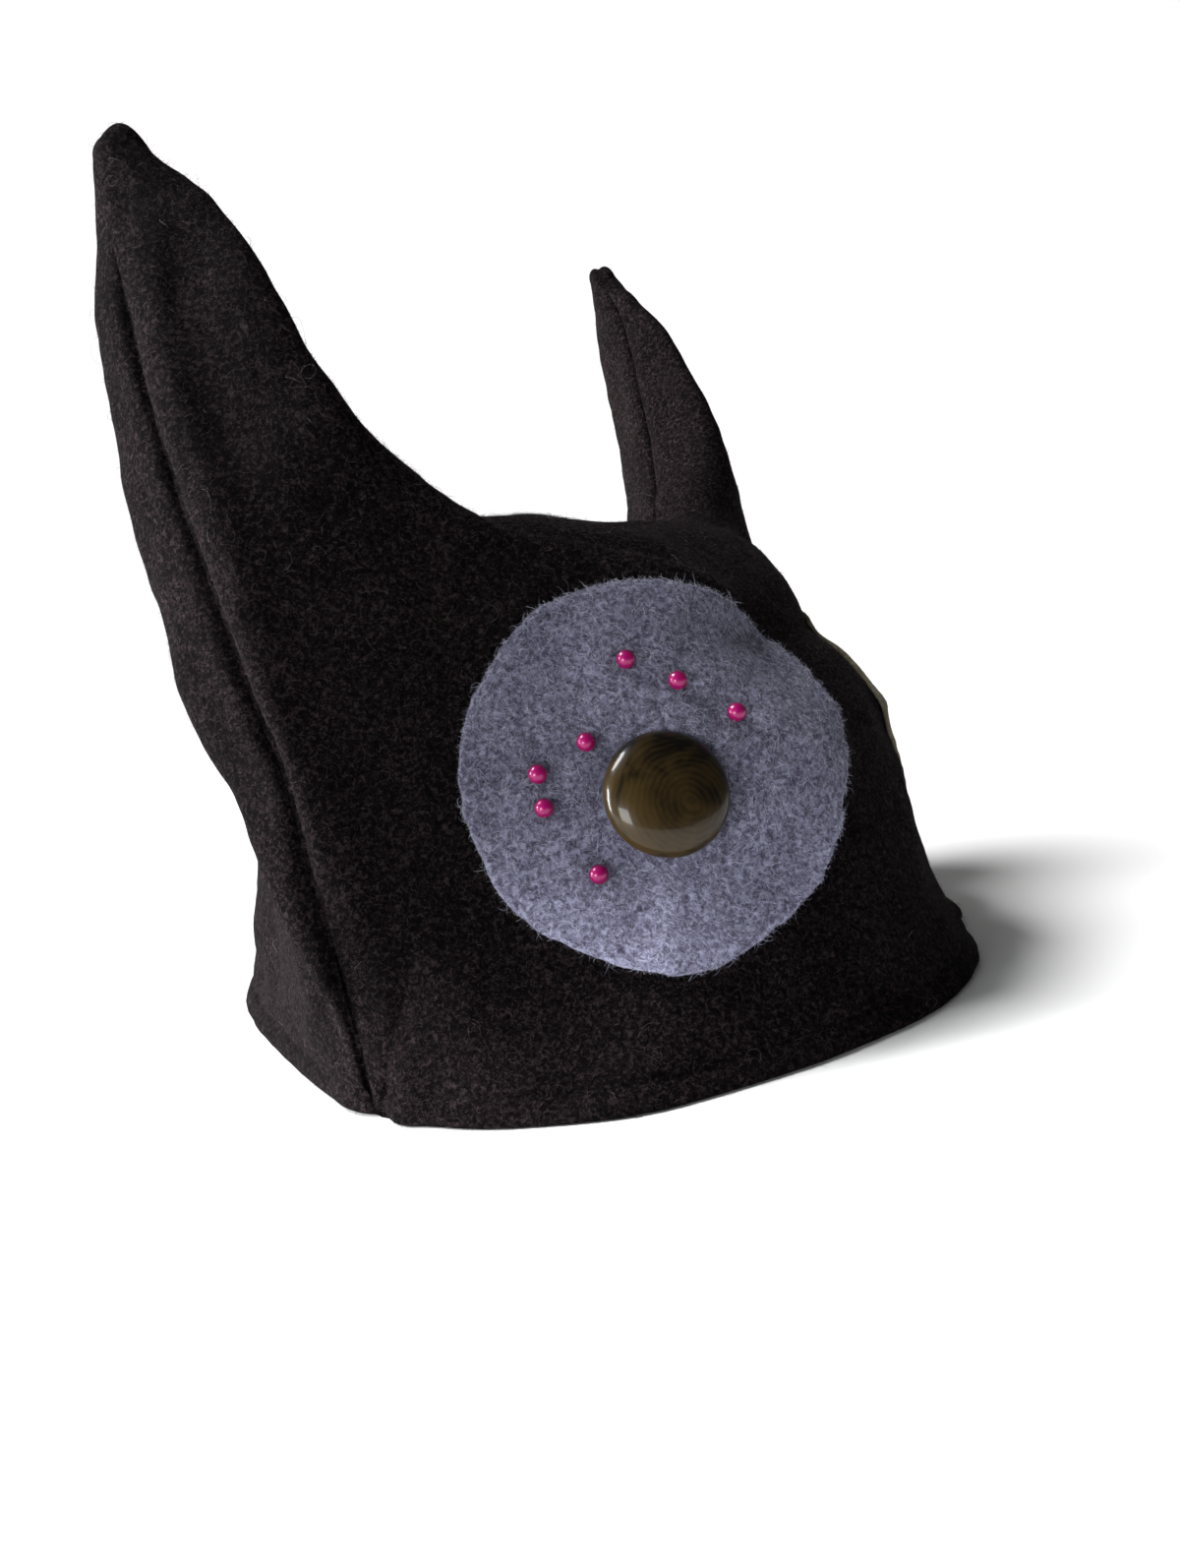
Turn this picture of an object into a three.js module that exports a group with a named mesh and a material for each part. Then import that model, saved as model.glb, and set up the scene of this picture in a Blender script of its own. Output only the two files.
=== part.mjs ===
// Horned hat of boiled wool felt with two button eyes. Sizes in millimetres, +Z up.
// The beak points to -Y, the wearer's left is +X, and the hem rests on z = 0.
import * as THREE from "three";

// Felt and seams
const WALL = 2.8; // thickness of the felt
const TURN_HEIGHT = 9; // the hem is turned in and stitched down to this height
const TURN_WALL = 5.2; // both layers of the turned hem
const TURN_RAMP = 3; // height over which the turned edge thins out
const SEAM_GAP = 0.17; // each panel stops this far short of the seam
const SEAM_DIP = 1.2; // the seam lies this deep below the felt beside it
const MITRE_REACH = 9; // the inner face turns over this distance to meet its neighbour's at the seam
const SEAM_RISE = 0.5; // the pressed seam allowance lifts the felt beside the seam
const TIP_ROWS = 3; // rings between the last station and the horn's point

// Grid of one panel
const STATION_STEPS = [0, 0.26, 0.52, 0.78, 1.04, 1.3, 1.56, 1.82, 2.1, 2.4, 2.7, 3, 3.3, 3.65, 4,
  4.2, 4.45, 4.7, 4.95, 5.2, 5.45, 5.7, 5.95, 6.2, 6.45, 6.7, 6.85, 7];
const RIB_STEPS = [0, 0.03, 0.07, 0.13, 0.2, 0.28, 0.36, 0.44, 0.52, 0.6, 0.69, 0.78, 0.87, 0.96, 1];
const MIDDLE_ROW = 7;

// The wearer's left horn stands a little further out and back than the right one
const LEFT_TIP_SHIFT = new THREE.Vector3(4, 2.5, 0);

// The front is a little lopsided: at each height it leans this far to the left and back
const FRONT_LEAN = [
  { height: 0, side: -4, depth: -0.2 },
  { height: 20, side: -3.3, depth: 2 },
  { height: 40, side: 1.3, depth: 2.2 },
  { height: 60, side: -0.4, depth: -3.7 },
  { height: 80, side: -3.9, depth: 3.8 },
  { height: 100, side: 0, depth: 0 },
];

// Soft dents and swellings: middle, reach, and how far the felt moves there
const DENTS = [
  { side: 51, depth: 16, height: 118.5, reach: 15, toLeft: 3.5, back: -5.5, up: -9 },
  { side: 30, depth: 2, height: 116, reach: 14, toLeft: -0.6, back: 0.4, up: -2.8 },
  { side: 4, depth: -14, height: 114, reach: 16, toLeft: 0.4, back: -1.2, up: -3.2 },
  { side: -98, depth: 9, height: 62, reach: 11, toLeft: 2.3, back: -2.1, up: 3.7 },
  { side: -98, depth: 19, height: 84, reach: 13, toLeft: -0.6, back: 0.2, up: -2.9 },
  { side: -66, depth: 56, height: 28, reach: 14, toLeft: -3.2, back: 2.8, up: -6.1 },
  { side: -63, depth: 67, height: 12, reach: 11, toLeft: 1.5, back: -1.7, up: 0.7 },
  { side: 21, depth: -62, height: 72, reach: 10, toLeft: 0.7, back: -0.4, up: 2.1 },
  { side: 22, depth: -72, height: 59, reach: 9, toLeft: -1.3, back: 1.6, up: -0.1 },
  { side: 46, depth: -78, height: 3, reach: 12, toLeft: -2.7, back: 3.9, up: 2.3 },
  { side: 23, depth: -73, height: 40, reach: 10, toLeft: 0.6, back: -0.8, up: 0.1 },
  { side: -84, depth: 34, height: 198, reach: 16, toLeft: 0.4, back: -0.4, up: 0.3 },
  { side: -72, depth: -17, height: 103, reach: 17, toLeft: 1.5, back: 3.2, up: -0.6 },
  { side: 72, depth: -17, height: 103, reach: 17, toLeft: -1.5, back: 3.2, up: -0.6 },
  { side: -47, depth: -27, height: 105, reach: 12, toLeft: -0.5, back: -0.9, up: 0.9 },
  { side: -20, depth: -47, height: 94, reach: 14, toLeft: 0, back: -0.9, up: 0.8 },
];

// Hem, from the beak over the side seam to the nape: distance from the middle, and depth
const HEM = [
  { side: 0, depth: -94 }, // beak
  { side: 26, depth: -89.5 },
  { side: 62.5, depth: -73.5 },
  { side: 83.5, depth: -54.5 },
  { side: 99, depth: -17 }, // side seam
  { side: 78, depth: 37 },
  { side: 56.5, depth: 77.5 },
  { side: 30, depth: 99.5 },
  { side: 0, depth: 106 }, // nape
];
const SIDE_STATION = 4;
const NAPE_FLARE = 4; // the back of the hem stands out this far
const FLARE_HEIGHT = 26;

// Side seam above the hem, up the outer edge of the horn to its point
const SIDE_SEAM = [
  { side: 99, depth: -2.5, height: 72 },
  { side: 95.5, depth: 22.5, height: 137 },
  { side: 89, depth: 36, height: 194.5 },
];

// Top seam from the middle of the crown up the inner edge of the horn
const TOP_SEAM = [
  { side: 0, depth: 31, height: 117 },
  { side: 23, depth: 26.5, height: 115.5 },
  { side: 37.5, depth: 19, height: 115.5 },
  { side: 48.5, depth: 14.5, height: 119 },
  { side: 54.5, depth: 12, height: 127 },
  { side: 67.5, depth: 16, height: 139.5 },
  { side: 74.5, depth: 25, height: 177 },
  { side: 76.5, depth: 33.5, height: 193.5 },
];

// How the front panel leaves the lower edge and reaches the top seam
const FRONT_LOW = [
  { side: 0, depth: 23, height: 62.5 },
  { side: -11, depth: 23, height: 62 },
  { side: -27, depth: 30, height: 48.5 },
  { side: -36, depth: 23.5, height: 41.5 },
  { side: -27, depth: 3.5, height: 38.5 },
  { side: -21, depth: -12.5, height: 22.5 },
  { side: -11.5, depth: -13, height: 12.5 },
  { side: -5.5, depth: -5, height: 8 },
];
const FRONT_HIGH = [
  { side: 0, depth: -85.5, height: 9 },
  { side: 7.5, depth: -88, height: 7.5 },
  { side: 7, depth: -80, height: 8 },
  { side: 0.5, depth: -64, height: 9 },
  { side: -3, depth: -51, height: 10.5 },
  { side: -2.5, depth: -39.5, height: 10 },
  { side: -2.5, depth: -28.5, height: 2 },
  { side: 3.5, depth: -5, height: -1.5 },
];

// The same for the back panel
const BACK_LOW = [
  { side: 0, depth: -3, height: 61 },
  { side: -4.5, depth: -3, height: 59 },
  { side: -10.5, depth: -1.5, height: 55 },
  { side: -10, depth: 5, height: 47.5 },
  { side: 0, depth: 25, height: 37 },
  { side: 5.5, depth: 42, height: 18.5 },
  { side: -1.5, depth: 26.5, height: 9.5 },
  { side: -0.5, depth: 9, height: -0.5 },
];
const BACK_HIGH = [
  { side: 0, depth: 48, height: 5.5 },
  { side: 3.5, depth: 45.5, height: 3.5 },
  { side: 8, depth: 42.5, height: 1.5 },
  { side: 11, depth: 41, height: -1 },
  { side: 12.5, depth: 37.5, height: 1 },
  { side: 14, depth: 35, height: 6.5 },
  { side: 11, depth: 23.5, height: 6.5 },
  { side: 2, depth: 5.5, height: 5.5 },
];

// Felt disc, button and beads of an eye. The left eye sits a little further back and lower.
const EYES = {
  right: { hand: -1, side: 44.5, depth: -55.5, height: 52.5 },
  left: { hand: 1, side: 56, depth: -43.5, height: 45 },
};
const EYE_AXIS = { side: 0.6, depth: -0.73, height: 0.32 };
const BUTTON_SHIFT = { fore: -2.6, up: -1.1 };
const DISC_SHIFT = { fore: 0, up: 5.5 }; // the disc's middle from the eye's
// Radius of the hand-cut disc every 15 degrees, from the beak's side upwards and round
const DISC_CUT = [40.9, 41.9, 42.7, 43.3, 42.1, 40, 39.9, 40.1, 40.9, 40.3, 40.5, 41,
  41.2, 41.0, 41.7, 41.1, 40.7, 41.4, 41, 38.9, 38.3, 38.4, 38.5, 39.2];
const DISC_THICK = 2.2;
const DISC_RINGS = [0.2, 0.4, 0.58, 0.74, 0.88, 1];
const DISC_CLEAR = 1.0;
const CLEAR = 0.3;
const BEAD_RADIUS = 1.95;
const BEAD_HOLE = 0.5;
// Beads in the plane of the disc, from the eye's middle: towards the beak, and up
const BEADS = [
  { fore: -4.8, up: 27.3, turn: 0.4 },
  { fore: 4.5, up: 21.2, turn: 1.9 },
  { fore: 14.9, up: 12.9, turn: 1.1 },
  { fore: -15.8, up: 12, turn: 2.6 },
  { fore: -26.2, up: 7.4, turn: 0.2 },
  { fore: -26, up: 0.8, turn: 1.4 },
  { fore: -17.8, up: -13.6, turn: 2.2 },
];

const vec = (row) => new THREE.Vector3(row.side, row.depth, row.height ?? 0);
const mirrored = (v) => new THREE.Vector3(-v.x, v.y, v.z);
const smooth = (x) => {
  const u = Math.min(Math.max(x, 0), 1);
  return u * u * (3 - 2 * u);
};

// A smooth curve through the points, one point a station, straight at both ends.
function curveThrough(points) {
  const slopes = points.map(() => new THREE.Vector3());
  const last = points.length - 1;
  for (let pass = 0; pass < 40; pass++) {
    for (let i = 0; i <= last; i++) {
      const before = points[Math.max(i - 1, 0)];
      const after = points[Math.min(i + 1, last)];
      const pull = after.clone().sub(before).multiplyScalar(3);
      if (i > 0) pull.sub(slopes[i - 1]);
      if (i < last) pull.sub(slopes[i + 1]);
      slopes[i] = pull.divideScalar(i === 0 || i === last ? 2 : 4);
    }
  }
  return (at) => {
    const k = Math.min(Math.floor(at), last - 1);
    const u = at - k;
    return new THREE.Vector3()
      .addScaledVector(points[k], 1 - 3 * u * u + 2 * u * u * u)
      .addScaledVector(slopes[k], u - 2 * u * u + u * u * u)
      .addScaledVector(points[k + 1], 3 * u * u - 2 * u * u * u)
      .addScaledVector(slopes[k + 1], u * u * u - u * u);
  };
}

// The same for a table that starts on the middle plane and goes on mirrored behind it.
function curveFromMiddle(table) {
  const points = table.map(vec);
  const whole = [...points.slice(1).reverse().map(mirrored), ...points];
  const curve = curveThrough(whole);
  return (at) => curve(at + points.length - 1);
}

const hemPoints = HEM.map(vec);
const hemCurve = curveThrough([...hemPoints, ...hemPoints.slice(0, -1).reverse().map(mirrored)]);
const sideCurve = curveThrough([hemPoints[SIDE_STATION], ...SIDE_SEAM.map(vec)]);
const topCurve = curveFromMiddle(TOP_SEAM);
const frontLow = curveFromMiddle(FRONT_LOW);
const frontHigh = curveFromMiddle(FRONT_HIGH);
const backLow = curveFromMiddle(BACK_LOW);
const backHigh = curveFromMiddle(BACK_HIGH);

// A point of the felt after the front's lean and the dents; the hem stays on its plane.
function settled(p) {
  const step = Math.min(Math.max(p.z, 0) / 20, FRONT_LEAN.length - 1.001);
  const [below, above] = [FRONT_LEAN[Math.floor(step)], FRONT_LEAN[Math.floor(step) + 1]];
  const lean = vec({ side: below.side, depth: below.depth }).lerp(vec({ side: above.side, depth: above.depth }), step % 1);
  const leant = p.clone().addScaledVector(lean, smooth((-p.y - 25) / 35));
  const moved = leant.clone();
  for (const dent of DENTS) {
    const near = Math.exp(-((leant.distanceTo(vec(dent)) / dent.reach) ** 2));
    moved.addScaledVector(vec({ side: dent.toLeft, depth: dent.back, height: dent.up }), near);
  }
  if (p.z < 0.01) moved.z = p.z;
  return moved;
}

// A rib of a panel at one station: from the hem or the side seam to the top seam.
function rib(front, station, hand) {
  const onHem = station <= SIDE_STATION;
  const start = onHem
    ? hemCurve(front ? station : HEM.length - 1 - station)
    : sideCurve(station - SIDE_STATION);
  const end = topCurve(station);
  const low = start.clone().add((front ? frontLow : backLow)(station));
  const high = end.clone().add((front ? frontHigh : backHigh)(station));
  const line = new THREE.CubicBezierCurve3(start, low, high, end);
  return RIB_STEPS.map((t) => {
    const p = line.getPoint(t);
    if (!front && station < SIDE_STATION) {
      const flare = NAPE_FLARE * Math.max(1 - p.z / FLARE_HEIGHT, 0) ** 2 * smooth((SIDE_STATION - station) / 1.5);
      p.addScaledVector(new THREE.Vector3(p.x, p.y, 0).normalize(), flare);
    }
    if (hand > 0) {
      const inHorn = smooth((p.x - 40) / 30) * Math.max((p.z - 115) / 80, 0);
      p.addScaledVector(LEFT_TIP_SHIFT, inHorn);
    }
    return settled(new THREE.Vector3(p.x * hand, p.y, p.z));
  });
}

// The middles of the horns' last rings
const tips = {};

// One half of a panel: its ribs from the middle to the horn, and the rounded point of the horn.
function halfGrid(front, hand) {
  const grid = STATION_STEPS.map((s) => rib(front, s, hand));
  const ring = [...rib(true, 7, hand), ...rib(false, 7, hand)];
  const below = [...rib(true, 6.6, hand), ...rib(false, 6.6, hand)];
  const mean = (list) => list.reduce((a, p) => a.add(p), new THREE.Vector3()).divideScalar(list.length);
  const centre = mean(ring);
  const axis = centre.clone().sub(mean(below)).normalize();
  const radius = ring.reduce((a, p) => a + p.distanceTo(centre), 0) / ring.length;
  tips[hand] = centre;
  const rim = grid[grid.length - 1];
  for (let row = 1; row <= TIP_ROWS; row++) {
    const angle = ((row / TIP_ROWS) * Math.PI) / 2;
    grid.push(rim.map((p) => p.clone().sub(centre).multiplyScalar(Math.cos(angle))
      .add(centre).addScaledVector(axis, radius * Math.sin(angle))));
  }
  return grid;
}

// The four half panels, and the outward direction at each of their points.
const halves = {};
for (const hand of [-1, 1]) {
  halves[`front${hand}`] = halfGrid(true, hand);
  halves[`back${hand}`] = halfGrid(false, hand);
}
const INSIDE = new THREE.Vector3(0, 0, 50);
const placeOf = (p) => [p.x, p.y, p.z].map((v) => Math.round(v * 50) + 0).join();
const outwardAt = new Map();
for (const grid of Object.values(halves)) {
  const sample = grid[5][6];
  const turn = new THREE.Triangle(sample, grid[6][6], grid[5][7]).getNormal(new THREE.Vector3());
  const sign = Math.sign(turn.dot(sample.clone().sub(INSIDE)));
  for (let i = 0; i < grid.length - 1; i++) {
    for (let j = 0; j < grid[0].length - 1; j++) {
      const corners = [grid[i][j], grid[i + 1][j], grid[i + 1][j + 1], grid[i][j + 1]];
      const area = corners[2].clone().sub(corners[0]).cross(corners[3].clone().sub(corners[1]));
      for (const p of corners) {
        const sum = outwardAt.get(placeOf(p)) ?? new THREE.Vector3();
        outwardAt.set(placeOf(p), sum.addScaledVector(area, sign));
      }
    }
  }
}

// How far the felt lies below the panel's face at a distance from a seam.
function dipAt(distance) {
  const groove = SEAM_DIP * Math.exp(-((distance / 2) ** 2));
  const swell = SEAM_RISE * Math.exp(-(((distance - 5.5) / 2.5) ** 2));
  return groove - swell;
}

// A closed body from its points and faces, turned so that the faces point out.
function closedBody(points, faces) {
  const corners = faces.flat();
  const signedVolume = faces.reduce((sum, [a, b, c]) =>
    sum + points[a].dot(points[b].clone().cross(points[c])), 0);
  if (signedVolume < 0) corners.reverse();
  const geometry = new THREE.BufferGeometry().setFromPoints(points);
  geometry.setIndex(corners);
  geometry.computeVertexNormals();
  return geometry;
}

// One closed body of even thickness from a grid of points on its face.
function shell(outer, inner, poles) {
  const rows = outer[0].length;
  const ends = outer.length - 1;
  const points = [];
  const indices = [outer, inner].map((layer) => layer.map((line, i) => {
    const isPole = poles.includes(i);
    if (isPole) points.push(line[0]);
    return line.map((p) => {
      if (!isPole) points.push(p);
      return points.length - 1;
    });
  }));
  const faces = [];
  const face = (...corners) => {
    if (new Set(corners).size === 3) faces.push(corners);
  };
  const [out, back] = indices;
  for (let i = 0; i < ends; i++) {
    for (let j = 0; j < rows - 1; j++) {
      const shortWay = outer[i][j].distanceTo(outer[i + 1][j + 1]) < outer[i + 1][j].distanceTo(outer[i][j + 1]);
      const corners = [[i, j], [i + 1, j], [i + 1, j + 1], [i, j + 1]];
      const [a, b, c, d] = corners.map(([x, y]) => out[x][y]);
      const [e, f, g, h] = corners.map(([x, y]) => back[x][y]);
      if (shortWay) {
        face(a, b, c);
        face(a, c, d);
        face(e, g, f);
        face(e, h, g);
      } else {
        face(a, b, d);
        face(b, c, d);
        face(e, h, f);
        face(f, h, g);
      }
    }
    const top = rows - 1;
    face(out[i + 1][0], out[i][0], back[i][0]);
    face(out[i + 1][0], back[i][0], back[i + 1][0]);
    face(out[i][top], out[i + 1][top], back[i + 1][top]);
    face(out[i][top], back[i + 1][top], back[i][top]);
  }
  for (let j = 0; j < rows - 1; j++) {
    if (!poles.includes(0)) {
      face(out[0][j], out[0][j + 1], back[0][j + 1]);
      face(out[0][j], back[0][j + 1], back[0][j]);
    }
  }
  return closedBody(points, faces);
}

// The body of a panel. stations gives the station of each line of the grid.
function panelGeometry(grid, stations) {
  const top = RIB_STEPS.length - 1;
  const outer = [];
  const inner = [];
  const poles = stations.flatMap((s, i) => (s === "pole" ? [i] : []));
  grid.forEach((line, i) => {
    const station = stations[i];
    const beside = grid[i === 0 ? 1 : i - 1];
    const onHem = station <= SIDE_STATION;
    const tipCentre = station >= 7 || station === "pole" ? tips[Math.sign(line[0].x)] : null;
    const outerLine = [];
    const innerLine = [];
    let fromLow = 0;
    const length = line.reduce((sum, p, j) => sum + (j ? p.distanceTo(line[j - 1]) : 0), 0);
    line.forEach((p, j) => {
      fromLow += j ? p.distanceTo(line[j - 1]) : 0;
      const out = outwardAt.get(placeOf(p)).clone().normalize();
      const atTop = outwardAt.get(placeOf(line[top])).clone().normalize();
      out.lerp(atTop, 1 - smooth((length - fromLow) / MITRE_REACH));
      if (station >= SIDE_STATION || station === "pole") {
        const atLow = outwardAt.get(placeOf(line[0])).clone().normalize();
        out.lerp(atLow, 1 - smooth(fromLow / MITRE_REACH));
      }
      if (onHem) out.z *= Math.min(p.z / 14, 1);
      if (tipCentre && station !== "pole") out.copy(p).sub(tipCentre);
      out.normalize();
      const seams = [length - fromLow, onHem ? Infinity : fromLow];
      const dip = station === "pole" ? SEAM_DIP : seams.reduce((sum, d) => sum + dipAt(d), 0);
      const slim = station > 6.4 || station === "pole" ? 0.8 : 1;
      const turned = smooth((TURN_HEIGHT + TURN_RAMP - p.z) / TURN_RAMP);
      const wall = slim * (WALL + (TURN_WALL - WALL) * turned);
      const shift = new THREE.Vector3();
      const pull = (to, from = p) => shift.add(to.clone().sub(from).setLength(SEAM_GAP));
      if (station === "pole") {
        pull(beside[MIDDLE_ROW], beside[0].clone().add(beside[top]).multiplyScalar(0.5));
      } else {
        if (j === top) pull(line[top - 1]);
        if (j === 0 && !onHem) pull(line[1]);
        if (j === 0 && station === SIDE_STATION) pull(grid[stations[i - 1] < SIDE_STATION ? i - 1 : i + 1][0]);
      }
      outerLine.push(p.clone().addScaledVector(out, -Math.min(dip, SEAM_DIP)).add(shift));
      innerLine.push(p.clone().addScaledVector(out, -wall).add(shift));
    });
    outer.push(outerLine);
    inner.push(innerLine);
  });
  return shell(outer, inner, poles);
}

const tipStations = [7.3, 7.6, "pole"];
const stationsOfHalf = [...STATION_STEPS, ...tipStations];
const stationsOfPanel = [...stationsOfHalf.slice(1).reverse(), ...stationsOfHalf];
const frontGrid = [...halves["front-1"].slice(1).reverse(), ...halves.front1];
const backGrid = [...halves["back-1"].slice(1).reverse(), ...halves.back1];

const felt = (name, colour, roughness = 0.95) =>
  Object.assign(new THREE.MeshStandardMaterial({ color: colour, roughness, metalness: 0 }), { name });
const brownFelt = felt("brown wool felt", 0x1d1615);
const lavenderFelt = felt("lavender felt", 0x84819f);
const khakiFelt = felt("cream khaki felt", 0x9b9376);
const hornButton = felt("olive horn button", 0x3b3219, 0.22);
const darkButton = felt("dark brown button", 0x1c130d, 0.22);
const pearl = felt("magenta pearl", 0xc0147e, 0.18);

const hat = new THREE.Group();
function add(name, geometry, material) {
  const mesh = new THREE.Mesh(geometry, material);
  mesh.name = name;
  hat.add(mesh);
  return mesh;
}

const front = add("front_panel", panelGeometry(frontGrid, stationsOfPanel), brownFelt);
add("back_panel", panelGeometry(backGrid, stationsOfPanel), brownFelt);

// Button: a flat back with a short shank, a thin rim and a domed face, standing on z = 0.
const buttonProfile = [
  [0, 0], [3, 0], [3, 1.4], [11.4, 1.8], [12.4, 2.6], [12.6, 3.6], [12.1, 5], [10.6, 6.6],
  [7.8, 7.9], [4.2, 8.7], [0, 9],
].map(([x, y]) => new THREE.Vector2(x, y));
const buttonGeometry = new THREE.LatheGeometry(buttonProfile, 24).rotateX(Math.PI / 2);

// Bead: a round pearl with a hole along its x axis, centred on the origin.
const beadProfile = [];
const holeAngle = Math.asin(BEAD_HOLE / BEAD_RADIUS);
const BEAD_STEPS = 5;
for (let k = 0; k <= BEAD_STEPS; k++) {
  const angle = holeAngle + ((Math.PI - 2 * holeAngle) * k) / BEAD_STEPS;
  beadProfile.push(new THREE.Vector2(BEAD_RADIUS * Math.sin(angle), -BEAD_RADIUS * Math.cos(angle)));
}
beadProfile.push(beadProfile[0].clone());
const beadGeometry = new THREE.LatheGeometry(beadProfile, 9).rotateZ(Math.PI / 2);

// An eye on one side: all its pieces follow the face of the front panel.
const caster = new THREE.Raycaster();
function addEye(side, discFelt, buttonMaterial) {
  const { hand } = EYES[side];
  const centre = vec(EYES[side]);
  centre.x *= hand;
  const axis = new THREE.Vector3(EYE_AXIS.side * hand, EYE_AXIS.depth, EYE_AXIS.height).normalize();
  const up = new THREE.Vector3(0, 0, 1).addScaledVector(axis, -axis.z).normalize();
  const fore = up.clone().cross(axis).multiplyScalar(-hand);
  const onFelt = (a, b) => {
    const origin = centre.clone().addScaledVector(fore, a).addScaledVector(up, b).addScaledVector(axis, 60);
    caster.set(origin, axis.clone().negate());
    const hit = caster.intersectObject(front)[0];
    const lean = Math.max(hit.face.normal.dot(axis), 0.5);
    return hit.point.addScaledVector(axis, DISC_CLEAR / lean);
  };

  // Disc: a middle point and rings of points on the felt, and the same again one thickness up
  const lower = [onFelt(DISC_SHIFT.fore, DISC_SHIFT.up)];
  const sides = DISC_CUT.length;
  for (const part of DISC_RINGS) {
    DISC_CUT.forEach((cut, k) => {
      const angle = (k / sides) * 2 * Math.PI;
      lower.push(onFelt(DISC_SHIFT.fore + cut * part * Math.cos(angle), DISC_SHIFT.up + cut * part * Math.sin(angle)));
    });
  }
  const upper = lower.map((p) => p.clone().addScaledVector(axis, DISC_THICK));
  const count = lower.length;
  const faces = [];
  for (let k = 0; k < sides; k++) {
    const next = (k + 1) % sides;
    faces.push([count, count + 1 + k, count + 1 + next], [0, 1 + next, 1 + k]);
    for (let r = 0; r < DISC_RINGS.length - 1; r++) {
      const a = 1 + r * sides;
      const b = a + sides;
      faces.push([count + a + k, count + b + k, count + b + next], [count + a + k, count + b + next, count + a + next]);
      faces.push([a + k, b + next, b + k], [a + k, a + next, b + next]);
    }
    const rim = 1 + (DISC_RINGS.length - 1) * sides;
    faces.push([rim + k, rim + next, count + rim + next], [rim + k, count + rim + next, count + rim + k]);
  }
  add(`eye_disc_${side}`, closedBody([...lower, ...upper], faces), discFelt);

  const stand = new THREE.Quaternion().setFromUnitVectors(new THREE.Vector3(0, 0, 1), axis);
  const { fore: toBeak, up: higher } = BUTTON_SHIFT;
  const seat = Math.max(...[[0, 0], [3, 0], [-3, 0], [0, 3], [0, -3]].map(([a, b]) =>
    onFelt(toBeak + a, higher + b).sub(centre).dot(axis))) + DISC_THICK + CLEAR;
  const button = buttonGeometry.clone().applyQuaternion(stand);
  const place = centre.clone().addScaledVector(fore, toBeak).addScaledVector(up, higher).addScaledVector(axis, seat);
  button.translate(...place.toArray());
  add(`button_${side}`, button, buttonMaterial);

  BEADS.forEach((bead, k) => {
    const rest = onFelt(bead.fore, bead.up).addScaledVector(axis, DISC_THICK + CLEAR + BEAD_RADIUS);
    const turn = new THREE.Quaternion().setFromAxisAngle(axis, bead.turn * hand).multiply(stand);
    const geometry = beadGeometry.clone().applyQuaternion(turn).translate(...rest.toArray());
    add(`bead_${side}_${k + 1}`, geometry, pearl);
  });
}
addEye("right", lavenderFelt, hornButton);
addEye("left", khakiFelt, darkButton);

// The middle of the hat's outline, seen from above, is the origin
const middle = new THREE.Box3().setFromObject(hat).getCenter(new THREE.Vector3());
hat.position.set(-middle.x, -middle.y, 0);

export default hat;
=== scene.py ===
"""Looks of the horned felt hat: napped panels, discs, buttons, beads, stitches, floor, light and camera."""
import math

import bpy
import numpy as np
from mathutils import Matrix, Vector
from mathutils.bvhtree import BVHTree
from mathutils.kdtree import KDTree


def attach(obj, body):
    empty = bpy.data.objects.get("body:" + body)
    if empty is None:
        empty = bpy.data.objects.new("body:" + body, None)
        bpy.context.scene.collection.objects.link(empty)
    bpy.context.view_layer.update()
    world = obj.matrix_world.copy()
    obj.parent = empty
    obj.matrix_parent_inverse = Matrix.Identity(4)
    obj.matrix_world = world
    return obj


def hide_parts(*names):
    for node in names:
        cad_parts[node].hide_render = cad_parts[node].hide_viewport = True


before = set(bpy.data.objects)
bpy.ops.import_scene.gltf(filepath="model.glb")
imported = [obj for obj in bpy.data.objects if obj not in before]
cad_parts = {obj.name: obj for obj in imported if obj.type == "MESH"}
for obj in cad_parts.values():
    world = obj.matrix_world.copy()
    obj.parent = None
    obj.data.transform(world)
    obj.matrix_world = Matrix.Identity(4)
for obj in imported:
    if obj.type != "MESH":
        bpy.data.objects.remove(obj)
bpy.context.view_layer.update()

MM = 0.001
MIDDLE_DEPTH = 7.90  # the shape's tables are this far behind the frame's origin, in mm
MIDDLE_SIDE = 0.05

# ---- camera -------------------------------------------------------------------------------------
EYE_POINT = (-236.39, -188.92, 84.8)
LOOK = (0.7746, 0.6207, -0.1213)
RIGHT = (0.6078, -0.7836, -0.1287)
FOCAL_PIXELS = 1205.6
IMAGE_HEIGHT = 1594
SENSOR = 36.0


def make_camera():
    data = bpy.data.cameras.new("camera")
    data.sensor_width = SENSOR
    data.lens = FOCAL_PIXELS * SENSOR / IMAGE_HEIGHT
    data.clip_start = 0.01
    data.clip_end = 50
    camera = bpy.data.objects.new("camera", data)
    bpy.context.scene.collection.objects.link(camera)
    look = Vector(LOOK).normalized()
    right = Vector(RIGHT)
    right = (right - look * right.dot(look)).normalized()
    up = right.cross(look)
    place = Matrix((right, up, -look)).transposed().to_4x4()
    place.translation = Vector((EYE_POINT[0] - MIDDLE_SIDE, EYE_POINT[1] - MIDDLE_DEPTH, EYE_POINT[2])) * MM
    camera.matrix_world = place
    bpy.context.scene.camera = camera


make_camera()

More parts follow.
